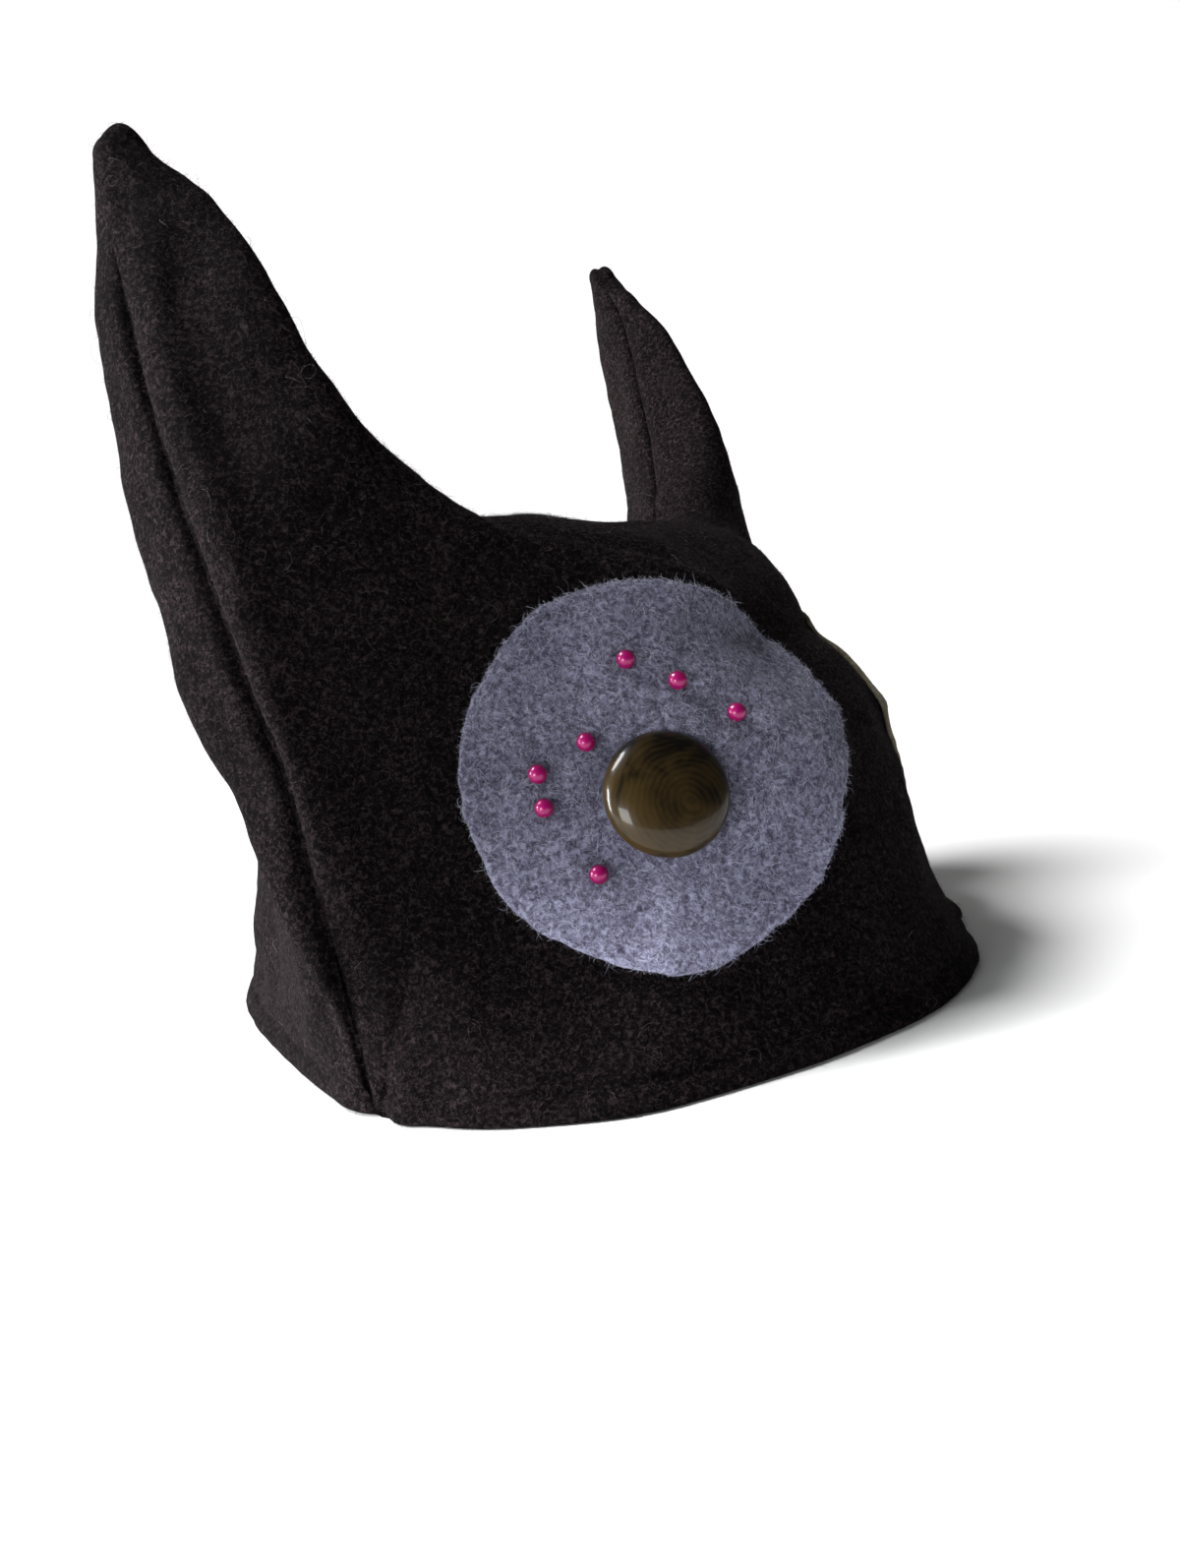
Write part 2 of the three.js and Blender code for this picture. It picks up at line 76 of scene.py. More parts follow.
# ---- shape of the felt, in mm ---------------------------------------------------------------------
SIDE_STATION = 4
LAST_STATION = 7
WALL = 2.8
TURN_WALL = 5.2
TURN_HEIGHT = 9
TURN_RAMP = 3
MITRE_REACH = 9
NAPE_FLARE = 4
FLARE_HEIGHT = 26
SOFT_BEND = 0.42  # in stations
HEM_BEND = 0.8  # the same, for the lower part of each panel
LEFT_TIP_SHIFT = np.array([4.0, 2.5, 0.0])

HEM = [(0, -94, 0), (26, -89.5, 0), (62.5, -73.5, 0), (83.5, -54.5, 0), (99, -17, 0),
       (78, 37, 0), (56.5, 77.5, 0), (30, 99.5, 0), (0, 106, 0)]
SIDE_SEAM = [(99, -2.5, 72), (95.5, 22.5, 137), (89, 36, 194.5)]
TOP_SEAM = [(0, 31, 117), (23, 26.5, 115.5), (37.5, 19, 115.5), (48.5, 14.5, 119),
            (54.5, 12, 127), (67.5, 16, 139.5), (74.5, 25, 177), (76.5, 33.5, 193.5)]
FRONT_LOW = [(0, 23, 62.5), (-11, 23, 62), (-27, 30, 48.5), (-36, 23.5, 41.5),
             (-27, 3.5, 38.5), (-21, -12.5, 22.5), (-11.5, -13, 12.5), (-5.5, -5, 8)]
FRONT_HIGH = [(0, -85.5, 9), (7.5, -88, 7.5), (7, -80, 8), (0.5, -64, 9),
              (-3, -51, 10.5), (-2.5, -39.5, 10), (-2.5, -28.5, 2), (3.5, -5, -1.5)]
BACK_LOW = [(0, -3, 61), (-4.5, -3, 59), (-10.5, -1.5, 55), (-10, 5, 47.5),
            (0, 25, 37), (5.5, 42, 18.5), (-1.5, 26.5, 9.5), (-0.5, 9, -0.5)]
BACK_HIGH = [(0, 48, 5.5), (3.5, 45.5, 3.5), (8, 42.5, 1.5), (11, 41, -1),
             (12.5, 37.5, 1), (14, 35, 6.5), (11, 23.5, 6.5), (2, 5.5, 5.5)]
# The front is a little lopsided: at each height it leans this far to a side and back
LEAN_HEIGHTS = (0, 20, 40, 60, 80, 100)
LEAN_SIDE = (-4.0, -3.3, 1.3, -0.4, -3.9, 0)
LEAN_DEPTH = (-0.2, 2.0, 2.2, -3.7, 3.8, 0)
# Soft dents and swellings: centre, reach, and how far the felt moves there
DENTS = [
    ((51, 16, 118.5), 15, (3.5, -5.5, -9)),
    ((30, 2, 116), 14, (-0.6, 0.4, -2.8)),
    ((4, -14, 114), 16, (0.4, -1.2, -3.2)),
    ((-98, 9, 62), 11, (2.3, -2.1, 3.7)),
    ((-98, 19, 84), 13, (-0.6, 0.2, -2.9)),
    ((-66, 56, 28), 14, (-3.2, 2.8, -6.1)),
    ((-63, 67, 12), 11, (1.5, -1.7, 0.7)),
    ((21, -62, 72), 10, (0.7, -0.4, 2.1)),
    ((22, -72, 59), 9, (-1.3, 1.6, -0.1)),
    ((46, -78, 3), 12, (-2.7, 3.9, 2.3)),
    ((23, -73, 40), 10, (0.6, -0.8, 0.1)),
    ((-84, 34, 198), 16, (0.4, -0.4, 0.3)),
    ((-72, -17, 103), 17, (1.5, 3.2, -0.6)),
    ((72, -17, 103), 17, (-1.5, 3.2, -0.6)),
    ((-47, -27, 105), 12, (-0.5, -0.9, 0.9)),
    ((-20, -47, 94), 14, (0, -0.9, 0.8)),
]
RIB_STEPS = np.array([0, 0.03, 0.07, 0.13, 0.2, 0.28, 0.36, 0.44, 0.52, 0.6, 0.69, 0.78, 0.87, 0.96, 1])
CAP_ROWS = 12
RIB_SAMPLES = 301  # places along a rib at which its length is measured
INNER_STEP = 3  # the inner face keeps every third line and row
BEND_REACH, BEND_STEPS = 2.2, 15  # how far and how finely a bend is averaged

# Rows of a rib: distances from its lower and upper ends, and how many rows lie between them
LOW_ROWS = np.array([0, 0.3, 0.7, 1.2, 1.8, 2.5, 3.3, 4.1, 4.8, 5.3, 5.8, 6.3, 6.8, 7.4, 8.2, 9.3, 10.8])
HIGH_ROWS = np.array([0, 0.3, 0.65, 1.1, 1.6, 2.2, 2.9, 3.8, 5, 6.6])
MIDDLE_ROWS = 66
STATIONS = np.concatenate([
    np.linspace(0, SIDE_STATION - 0.12, 92),
    SIDE_STATION + np.array([-0.08, -0.05, -0.03, -0.015, 0, 0.012]),
    np.linspace(SIDE_STATION + 0.03, LAST_STATION, 134),
])


def smooth(x):
    u = np.clip(x, 0, 1)
    return u * u * (3 - 2 * u)


def unit(v):
    return v / np.maximum(np.linalg.norm(v, axis=-1, keepdims=True), 1e-12)


def bell(distance, width):
    """A soft bump: 1 at no distance, and next to nothing at twice its width."""
    return np.exp(-((distance / width)**2))


def way_along(points):
    """How far each point lies along its line of points."""
    steps = np.linalg.norm(np.diff(points, axis=-2), axis=-1)
    return np.concatenate([np.zeros_like(steps[..., :1]), np.cumsum(steps, axis=-1)], axis=-1)


def weld(points, steps):
    """The first of the points that meet within 1 / steps mm, and which of them each point belongs to."""
    _, first, group = np.unique(np.round(points * steps).astype(np.int64), axis=0, return_index=True,
                                return_inverse=True)
    return first, group.reshape(-1)


def curve_through(points):
    """A natural cubic curve with one point a station."""
    p = np.array(points, float)
    n = len(p)
    a = np.zeros((n, n))
    b = np.zeros_like(p)
    for i in range(n):
        a[i, i] = 2 if i in (0, n - 1) else 4
        for j in (i - 1, i + 1):
            if 0 <= j < n:
                a[i, j] = 1
        b[i] = 3 * (p[min(i + 1, n - 1)] - p[max(i - 1, 0)])
    slopes = np.linalg.solve(a, b)

    def at(where):
        where = np.asarray(where, float)
        k = np.clip(np.floor(where).astype(int), 0, n - 2)
        u = (where - k)[..., None]
        return ((1 - 3 * u**2 + 2 * u**3) * p[k] + (u - 2 * u**2 + u**3) * slopes[k]
                + (3 * u**2 - 2 * u**3) * p[k + 1] + (u**3 - u**2) * slopes[k + 1])

    return at


def mirrored(points):
    return [(-x, y, z) for x, y, z in points]


def curve_from_middle(table):
    at = curve_through(mirrored(table[1:][::-1]) + table)
    return lambda s: at(np.asarray(s, float) + len(table) - 1)


hem_curve = curve_through(HEM + mirrored(HEM[:-1][::-1]))
side_curve = curve_through([HEM[SIDE_STATION]] + SIDE_SEAM)
top_curve = curve_from_middle(TOP_SEAM)
handles = {
    True: (curve_from_middle(FRONT_LOW), curve_from_middle(FRONT_HIGH)),
    False: (curve_from_middle(BACK_LOW), curve_from_middle(BACK_HIGH)),
}


def surface(front, hand, s, t):
    """Points of a panel's face; s has one value a rib, and t one row of values for each."""
    s = np.asarray(s, float)
    on_hem = (s <= SIDE_STATION)[:, None]
    start = np.where(on_hem, hem_curve(s if front else len(HEM) - 1 - s),
                     side_curve(np.maximum(s - SIDE_STATION, 0)))
    end = top_curve(s)
    low, high = (h(s) for h in handles[front])
    a, b, c, d = (v[:, None, :] for v in (start, start + low, end + high, end))
    t = t[..., None]
    p = (1 - t)**3 * a + 3 * (1 - t)**2 * t * b + 3 * (1 - t) * t**2 * c + t**3 * d
    if not front:
        flare = NAPE_FLARE * np.maximum(1 - p[..., 2] / FLARE_HEIGHT, 0)**2
        flare = flare * smooth((SIDE_STATION - s) / 1.5)[:, None]
        p = p + unit(p * [1, 1, 0]) * flare[..., None]
    if hand > 0:
        in_horn = smooth((p[..., 0] - 40) / 30) * np.maximum((p[..., 2] - 115) / 80, 0)
        p = p + in_horn[..., None] * LEFT_TIP_SHIFT
    p = p * [hand, 1, 1]
    in_front = smooth((-p[..., 1] - 25) / 35)
    lean = np.zeros_like(p)
    lean[..., 0] = in_front * np.interp(p[..., 2], LEAN_HEIGHTS, LEAN_SIDE)
    lean[..., 1] = in_front * np.interp(p[..., 2], LEAN_HEIGHTS, LEAN_DEPTH)
    p = p + lean
    moved = p.copy()
    for centre, reach, move in DENTS:
        near = bell(np.linalg.norm(p - centre, axis=-1), reach)
        moved += near[..., None] * np.array(move, float)
    moved[..., 2] = np.where(p[..., 2] < 0.01, p[..., 2], moved[..., 2])
    return moved


def half_panel(front, hand, stations):
    """A fine grid over half a panel, one line of points a rib, with the rounded point of the horn."""
    dense = np.tile(np.linspace(0, 1, RIB_SAMPLES), (len(stations), 1))
    way = way_along(surface(front, hand, stations, dense))
    t = np.empty((len(stations), len(LOW_ROWS) + MIDDLE_ROWS + len(HIGH_ROWS)))
    for i, along in enumerate(way):
        length = along[-1]
        shrink = min(1, length / (1.7 * (LOW_ROWS[-1] + HIGH_ROWS[-1])))
        low = LOW_ROWS * shrink
        high = length - HIGH_ROWS[::-1] * shrink
        middle = np.linspace(low[-1], high[0], MIDDLE_ROWS + 2)[1:-1]
        t[i] = np.interp(np.concatenate([low, middle, high]), along, dense[i])
    t[:, 0], t[:, -1] = 0, 1
    grid = surface(front, hand, stations, t)
    # the felt bends softly where the hem ends and the side seam begins
    offsets = np.linspace(-BEND_REACH, BEND_REACH, BEND_STEPS)
    weights = np.exp(-offsets**2 / 2)
    bends = [(SOFT_BEND, np.minimum(t * 2.6, (1 - t) * 3.5), 1.5)]
    if front:
        bends.append((HEM_BEND, np.minimum(t * 9, (0.62 - t) * 3.5), 2.0))
    for bend, by_row, width in bends:
        soft = sum(w * surface(front, hand, np.clip(stations + o * bend, 0, LAST_STATION), t)
                   for o, w in zip(offsets, weights)) / weights.sum()
        share = smooth(by_row) * smooth((width - abs(stations - SIDE_STATION)) / (0.73 * width))[:, None]
        grid = grid + share[..., None] * (soft - grid)
    ends = np.tile(RIB_STEPS, (2, 1))
    both = [surface(f, hand, [LAST_STATION, LAST_STATION - 0.4], ends) for f in (True, False)]
    ring, below = (np.concatenate([g[k] for g in both]) for k in (0, 1))
    centre = ring.mean(0)
    axis = unit(centre - below.mean(0))
    radius = np.linalg.norm(ring - centre, axis=1).mean()
    angles = np.linspace(0, math.pi / 2, CAP_ROWS + 1)[1:, None, None]
    cap = centre + (grid[-1] - centre) * np.cos(angles) + axis * radius * np.sin(angles)
    return np.concatenate([grid, cap])


# ---- mesh helpers -----------------------------------------------------------------------------------
def mesh_piece(name, points, faces, materials, slots=None, shift=True):
    """A mesh object from points in mm and triangles."""
    points = np.asarray(points, float).reshape(-1, 3)
    if shift:
        points = points - [MIDDLE_SIDE, MIDDLE_DEPTH, 0]
    faces = np.asarray(faces, np.int32).reshape(-1, 3)
    mesh = bpy.data.meshes.new(name)
    mesh.vertices.add(len(points))
    mesh.vertices.foreach_set("co", (points * MM).ravel())
    mesh.loops.add(len(faces) * 3)
    mesh.loops.foreach_set("vertex_index", faces.ravel())
    mesh.polygons.add(len(faces))
    mesh.polygons.foreach_set("loop_start", np.arange(0, len(faces) * 3, 3, dtype=np.int32))
    mesh.update(calc_edges=True)
    mesh.polygons.foreach_set("use_smooth", np.ones(len(faces), bool))
    for material in materials:
        mesh.materials.append(material)
    if slots is not None:
        mesh.polygons.foreach_set("material_index", np.asarray(slots, np.int32))
    piece = bpy.data.objects.new(name, mesh)
    bpy.context.scene.collection.objects.link(piece)
    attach(piece, "root")
    return piece


def grid_faces(rows, columns, wrap=False):
    """Triangles of a grid of rows x columns points."""
    i, j = np.meshgrid(np.arange(rows - 1), np.arange(columns if wrap else columns - 1), indexing="ij")
    k = (j + 1) % columns
    a, b, c, d = i * columns + j, (i + 1) * columns + j, (i + 1) * columns + k, i * columns + k
    return np.concatenate([np.stack([a, b, c], -1).reshape(-1, 3), np.stack([a, c, d], -1).reshape(-1, 3)])


def face_areas(points, faces):
    a, b, c = (points[faces[:, k]] for k in range(3))
    return np.cross(b - a, c - a)


def fan(middle, ring, sides):
    """Triangles from one point to a ring of points; each is given by its first index."""
    k = np.arange(sides)
    return np.stack([np.full(sides, middle), ring + k, ring + (k + 1) % sides], -1)


def band(start, end, sides):
    """Triangles between two rings of points."""
    k = np.arange(sides)
    n = (k + 1) % sides
    return np.concatenate([np.stack([start + k, end + k, end + n], -1),
                           np.stack([start + k, end + n, start + n], -1)])


def round_faces(rings, sides, base=0):
    """Triangles of a round sheet: its middle point, then rings of points."""
    starts = base + 1 + np.arange(rings) * sides
    bands = [band(a, b, sides) for a, b in zip(starts, starts[1:])]
    return np.concatenate([fan(base, base + 1, sides)] + bands)


def outward(points, faces, inside=0):
    """The faces of a closed body, all turned round if they look inwards."""
    a, b, c = (points[faces[:, k]] - inside for k in range(3))
    return faces[:, ::-1] if (a * np.cross(b, c)).sum() < 0 else faces


def circle(sides, across, over):
    """Directions round a circle in the plane of two axes, or one circle for each pair of them."""
    angles = (np.arange(sides) * 2 * math.pi / sides)[:, None]
    return np.cos(angles) * across[..., None, :] + np.sin(angles) * over[..., None, :]


def tube(line, radii, across, over, sides, ends):
    """Points and triangles of a tube along a line, closed by a point at each end."""
    rings = line[:, None] + radii[:, None, None] * circle(sides, across, over)
    points = np.concatenate([rings.reshape(-1, 3), ends])
    faces = np.concatenate([grid_faces(len(line), sides, wrap=True), fan(len(points) - 2, 0, sides)[:, ::-1],
                            fan(len(points) - 1, (len(line) - 1) * sides, sides)])
    return points, outward(points, faces, line.mean(0))


def ripples(points, seed, count, shortest, longest):
    """Soft lumps: a sum of waves that run every way, about 1 high, for points in mm."""
    rng = np.random.default_rng(seed)
    total = np.zeros(points.shape[:-1])
    for _ in range(count):
        way = unit(rng.normal(size=3))
        length = rng.uniform(shortest, longest)
        total += np.sin(points @ way * (2 * math.pi / length) + rng.uniform(0, 2 * math.pi))
    return total / math.sqrt(count / 2)


# ---- materials --------------------------------------------------------------------------------------
LOW_LIGHT_FROM, LOW_LIGHT_TO = 62 * MM, 22 * MM  # painted light from below: the discs are painted paler between these heights, towards their lower edge
BROAD_SCALE, BROAD_SHARE = 45, 0.07  # large soft patches in the felt's tone
CLUMP_SHARE, STRAND_SHARE, STRANDS_A_CLUMP = 0.55, 0.45, 3.1
SWIRL_AT = (-48.9 * MM, -70.1 * MM, 53.2 * MM)  # the middle of the arcs on the right button
BUTTON_LIT_WAY = (-0.65, 0.2, -0.73)  # the way towards the button's lit side, painted paler
SWIRL_PUSH = 0.0035  # how far noise bends the arcs, in metres
LIT_SIDE_SLOPE = 24  # how fast the painted light grows towards the lit side
ARC_WAVES, FINE_WAVES = 5200, 11700  # radians a metre


def set_socket(tree, socket, value):
    """Links a node's output to the socket, or sets a plain value on it."""
    if hasattr(value, "is_linked"):
        tree.links.new(value, socket)
    else:
        socket.default_value = value


def new_material(name, **plain):
    """A material with plain values on its shader."""
    material = bpy.data.materials.new(name)
    material.use_nodes = True
    shader = material.node_tree.nodes["Principled BSDF"]
    for key, value in plain.items():
        shader.inputs[key.replace("_", " ")].default_value = value
    return material, material.node_tree, shader


def node(tree, kind, *values, **named):
    """A node with inputs and settings by name, and its first inputs in order."""
    made = tree.nodes.new(kind)
    for key, value in named.items():
        name = key.replace("_", " ")
        if name in made.inputs:
            set_socket(tree, made.inputs[name], value)
        else:
            setattr(made, key, value)
    for socket, value in zip(made.inputs, values):
        set_socket(tree, socket, value)
    return made


def maths(tree, operation, a, b=0):
    return node(tree, "ShaderNodeMath", a, b, operation=operation).outputs[0]


def vectors(tree, operation, *values, **named):
    made = node(tree, "ShaderNodeVectorMath", *values, operation=operation, **named)
    return made.outputs["Value" if operation in ("LENGTH", "DOT_PRODUCT") else "Vector"]


def noise(tree, place, scale, detail, roughness=0.5, distortion=0.0, output="Fac"):
    return node(tree, "ShaderNodeTexNoise", Vector=place, Scale=scale, Detail=detail, Roughness=roughness,
                Distortion=distortion).outputs[output]


def ramp(tree, fac, stops):
    made = tree.nodes.new("ShaderNodeValToRGB")
    tree.links.new(fac, made.inputs["Fac"])
    elements = made.color_ramp.elements
    while len(elements) < len(stops):
        elements.new(0.5)
    for element, (position, colour) in zip(elements, stops):
        element.position = position
        element.color = (*colour, 1)
    return made.outputs["Color"]


def painted_low_light(tree, place, colour, gain):
    """The wool's tone with painted light from below: paler by the gain towards the lower edge of the disc.
    """
    height = node(tree, "ShaderNodeSeparateXYZ", Vector=place).outputs["Z"]
    low = node(tree, "ShaderNodeMapRange", interpolation_type="SMOOTHSTEP", Value=height,
               From_Min=LOW_LIGHT_FROM, From_Max=LOW_LIGHT_TO, To_Min=1.0, To_Max=1.0 + gain)
    return vectors(tree, "SCALE", colour, Scale=low.outputs["Result"])


def felt_material(name, tones, clump, relief, sheen, tint, shine=0.1, low_light_gain=0.0):
    """Napped felt: dark, middle and light tones in clumps and fibres, with painted shade in the low pits of
    the relief, a soft relief and a faint sheen.
    """
    material, tree, shader = new_material(name, Roughness=0.95, Specular_IOR_Level=shine, Sheen_Weight=sheen,
                                          Sheen_Roughness=0.55, Sheen_Tint=(*tint, 1))
    place = node(tree, "ShaderNodeTexCoord").outputs["Object"]
    broad = noise(tree, place, BROAD_SCALE, 2)
    clumps = noise(tree, place, clump, 5, 0.65, 0.8)
    strands = noise(tree, place, clump * STRANDS_A_CLUMP, 3, 0.7, 2.5)
    # the tone follows the relief's height: besides the wool's own heather tones, the low pits are dark as
    # painted shade
    tone = maths(tree, "ADD", maths(tree, "MULTIPLY", clumps, CLUMP_SHARE),
                 maths(tree, "MULTIPLY", strands, STRAND_SHARE))
    patches = maths(tree, "MULTIPLY", maths(tree, "SUBTRACT", broad, 0.5), BROAD_SHARE)
    tone = maths(tree, "ADD", tone, patches)
    colour = ramp(tree, tone, list(zip((0.41, 0.5, 0.61), tones)))
    # painted light from below: the colour grows paler towards the disc's lower edge
    if low_light_gain:
        colour = painted_low_light(tree, place, colour, low_light_gain)
    tree.links.new(colour, shader.inputs["Base Color"])
    height = maths(tree, "ADD", clumps, maths(tree, "MULTIPLY", strands, 0.5))
    bump = node(tree, "ShaderNodeBump", Height=height, Distance=relief * MM, Strength=1.0)
    tree.links.new(bump.outputs[0], shader.inputs["Normal"])
    return material


def fibre_material(name, colour, other, sheen=0.3, shine=0.25, low_light_gain=0.0):
    material, tree, shader = new_material(name, Roughness=0.75, Specular_IOR_Level=shine, Sheen_Weight=sheen)
    place = node(tree, "ShaderNodeTexCoord").outputs["Object"]
    shade = ramp(tree, noise(tree, place, 900, 2), [(0.35, colour), (0.65, other)])
    # painted light from below: the fibres grow paler towards the disc's lower edge
    if low_light_gain:
        shade = painted_low_light(tree, place, shade, low_light_gain)
    tree.links.new(shade, shader.inputs["Base Color"])
    return material


def horn_material(name, dark, light, streak):
    """Polished horn or marbled plastic: arcs round a point beside the middle, painted light that makes one
    lower side paler, under a thin clear coat.
    """
    material, tree, shader = new_material(name, Roughness=0.28, Specular_IOR_Level=0.15, Coat_Weight=0.25,
                                          Coat_Roughness=0.05)
    place = node(tree, "ShaderNodeTexCoord").outputs["Object"]
    moved = vectors(tree, "SUBTRACT", place, SWIRL_AT)
    warp = noise(tree, place, 110, 3, output="Color")
    far = vectors(tree, "LENGTH", vectors(tree, "MULTIPLY_ADD", warp, (SWIRL_PUSH,) * 3, moved))
    arcs, fine = (maths(tree, "SINE", maths(tree, "MULTIPLY", far, w)) for w in (ARC_WAVES, FINE_WAVES))
    cloud = noise(tree, place, 130, 4, distortion=1.2)
    broken = noise(tree, place, 330, 3)
    lines = maths(tree, "MULTIPLY", maths(tree, "ADD", arcs, maths(tree, "MULTIPLY", fine, 0.5)), broken)
    # painted light: the tone grows paler towards one lower side of the button
    down = maths(tree, "MULTIPLY", vectors(tree, "DOT_PRODUCT", moved, BUTTON_LIT_WAY), LIT_SIDE_SLOPE)
    tone = maths(tree, "ADD", maths(tree, "ADD", cloud, down), maths(tree, "MULTIPLY", lines, streak))
    middle = [(d + l) / 2.2 for d, l in zip(dark, light)]
    colour = ramp(tree, tone, [(0.3, dark), (0.52, middle), (0.82, light)])
    tree.links.new(colour, shader.inputs["Base Color"])
    return material


def pearl_material(name):
    """Lacquered pearl: a deep pink body with painted shade that turns it darker towards its outline, under a
    clear coat.
    """
    material, tree, shader = new_material(name, Metallic=0.1, Roughness=0.35, Specular_IOR_Level=0.2,
                                          Coat_Weight=0.5, Coat_Roughness=0.05)
    facing = node(tree, "ShaderNodeLayerWeight", Blend=0.4).outputs["Facing"]
    # painted shade: the body darkens where its face turns away from view, towards the outline
    colour = ramp(tree, facing, [(0.0, (0.27, 0.001, 0.092)), (0.5, (0.19, 0.001, 0.062)),
                                 (1.0, (0.04, 0.001, 0.013))])
    tree.links.new(colour, shader.inputs["Base Color"])
    return material


# the darkest tone of each felt is painted shade in the pits of its relief
brown_felt = felt_material(
    "brown_felt", [(0.0003, 0.0002, 0.0002), (0.0034, 0.0023, 0.0026), (0.052, 0.0370, 0.0400)],
    1050, 1.5, 0.01, (0.6, 0.5, 0.5), 0.03)
brown_nap = fibre_material("brown_nap", (0.005, 0.0034, 0.0037), (0.016, 0.0112, 0.0118), 0.01, 0.03)
dark_nap = fibre_material("dark_nap", (0.0008, 0.0006, 0.0006), (0.003, 0.0021, 0.0023), 0.0, 0.03)
heather_nap = fibre_material("heather_nap", (0.030, 0.0214, 0.0236), (0.11, 0.0800, 0.0880), 0.01, 0.04)
pale_hair = fibre_material("pale_hair", (0.05, 0.042, 0.04), (0.13, 0.11, 0.105))
# the lavender disc and its fibres carry painted light from below, paler towards their lower edge
lavender_felt = felt_material(
    "lavender_felt", [(0.029, 0.025, 0.042), (0.104, 0.098, 0.146), (0.285, 0.287, 0.395)],
    760, 0.6, 0.08, (0.9, 0.9, 1.0), low_light_gain=0.8)
lavender_fibre = fibre_material("lavender_fibre", (0.163, 0.160, 0.232), (0.31, 0.316, 0.450), low_light_gain=0.8)
white_fibre = fibre_material("white_fibre", (0.42, 0.445, 0.56), (0.64, 0.675, 0.80), low_light_gain=0.3)
khaki_felt = felt_material(
    "khaki_felt", [(0.09, 0.075, 0.045), (0.15, 0.13, 0.085), (0.23, 0.205, 0.15)],
    420, 0.35, 0.12, (1.0, 0.97, 0.9))
khaki_fibre = fibre_material("khaki_fibre", (0.2, 0.18, 0.12), (0.33, 0.31, 0.23))
cream_fibre = fibre_material("cream_fibre", (0.38, 0.36, 0.29), (0.5, 0.48, 0.41))
olive_button = horn_material("olive_button", (0.0016, 0.0012, 0.0006), (0.036, 0.0222, 0.0060), 0.13)
brown_button = horn_material("brown_button", (0.0025, 0.0016, 0.001), (0.02, 0.011, 0.005), 0.1)
pearl = pearl_material("pearl")
bead_thread = fibre_material("bead_thread", (0.05, 0.045, 0.06), (0.09, 0.085, 0.1))
dark_thread = fibre_material("dark_thread", (0.0012, 0.001, 0.001), (0.004, 0.0032, 0.0034), 0.0, 0.08)

# ---- felt panels ------------------------------------------------------------------------------------
halves = {(front, hand): half_panel(front, hand, STATIONS) for front in (True, False) for hand in (-1, 1)}
LINES, ROWS = next(iter(halves.values())).shape[:2]
half_faces = grid_faces(LINES, ROWS)
on_rib = np.concatenate([STATIONS, LAST_STATION + np.arange(1, CAP_ROWS + 1) / CAP_ROWS])

# One outward direction for each point, shared by the panels that meet there
stacked = np.concatenate([g.reshape(-1, 3) for g in halves.values()])
first, welded = weld(stacked, 500)
sums = np.zeros((len(first), 3))
outward_turn = {}
for k, (key, grid) in enumerate(halves.items()):
    flat = grid.reshape(-1, 3)
    areas = face_areas(flat, half_faces)
    middle_face = (LINES // 4) * (ROWS - 1) + ROWS // 2
    sign = np.sign(areas[middle_face] @ (flat[half_faces[middle_face, 0]] - [0, 0, 50]))
    outward_turn[key] = sign
    for c in range(3):
        np.add.at(sums, welded[k * LINES * ROWS + half_faces[:, c]], areas * sign)
normals = unit(sums)[welded].reshape(4, LINES, ROWS, 3)
normals = dict(zip(halves, normals))

# Seams as lines of points
SEAM_POINTS = {}
for hand in (-1, 1):
    grid = halves[(True, hand)]
    SEAM_POINTS[("side", hand)] = grid[on_rib >= SIDE_STATION][:, 0]
    SEAM_POINTS[("top", hand)] = grid[:, -1]


def distance_to(line, points, far=30.0, step_length=0.15):
    """Distance of each point from a line of points."""
    line = np.asarray(line)
    way = way_along(line)
    even = np.linspace(0, way[-1], int(way[-1] / step_length) + 2)
    dense = np.stack([np.interp(even, way, line[:, k]) for k in range(3)], -1)
    tree = KDTree(len(dense))
    for k, p in enumerate(dense):
        tree.insert(p, k)
    tree.balance()
    low, high = dense.min(0) - far, dense.max(0) + far
    flat = points.reshape(-1, 3)
    found = np.full(len(flat), far)
    for k in np.nonzero(((flat > low) & (flat < high)).all(1))[0]:
        found[k] = min(tree.find(flat[k])[2], far)
    return found.reshape(points.shape[:-1])


def round_edge(d, radius):
    """How far a round edge falls back, by the distance from where it ends."""
    inside = np.clip(radius - d, 0, radius)
    return radius - np.sqrt(np.maximum(radius**2 - inside**2, 0))


def seam_roll(d, radius, ridge, ridge_at, ridge_width):
    """How deep the felt lies beside a seam: it rolls in, and a soft ridge stands beside the roll."""
    return round_edge(d, radius) - ridge * bell(d - ridge_at, ridge_width)


# Seams: the roll's radius, the height of the ridge beside it, where that stands and its width
FRONT_ROLL = (4.4, 1.2, 7.2, 3.8)
BACK_ROLL = (6.5, 0.5, 11, 4)
TOP_ROLL = (2.2, 0.5, 4.8, 2.8)
DEEPEST_ROLL = 3.5
CALM_FROM, CALM_OVER, CALM_SHARE = 6.3, 0.5, 0.92  # stations from which, and share by which, the rolls end
BROW_RIDGE = [(-66, -13, 123), (-60, -16, 117), (-52, -20, 110),
              (-35, -35, 103), (-20, -46, 95), (-6, -51, 89)]
BROW_HOLLOW = [(-42, -22, 112), (-30, -32, 108), (-16, -43, 101)]
RIDGE_HEIGHT, RIDGE_WIDTH = 2.2, 5
HOLLOW_DEPTH, HOLLOW_WIDTH = 2.8, 6
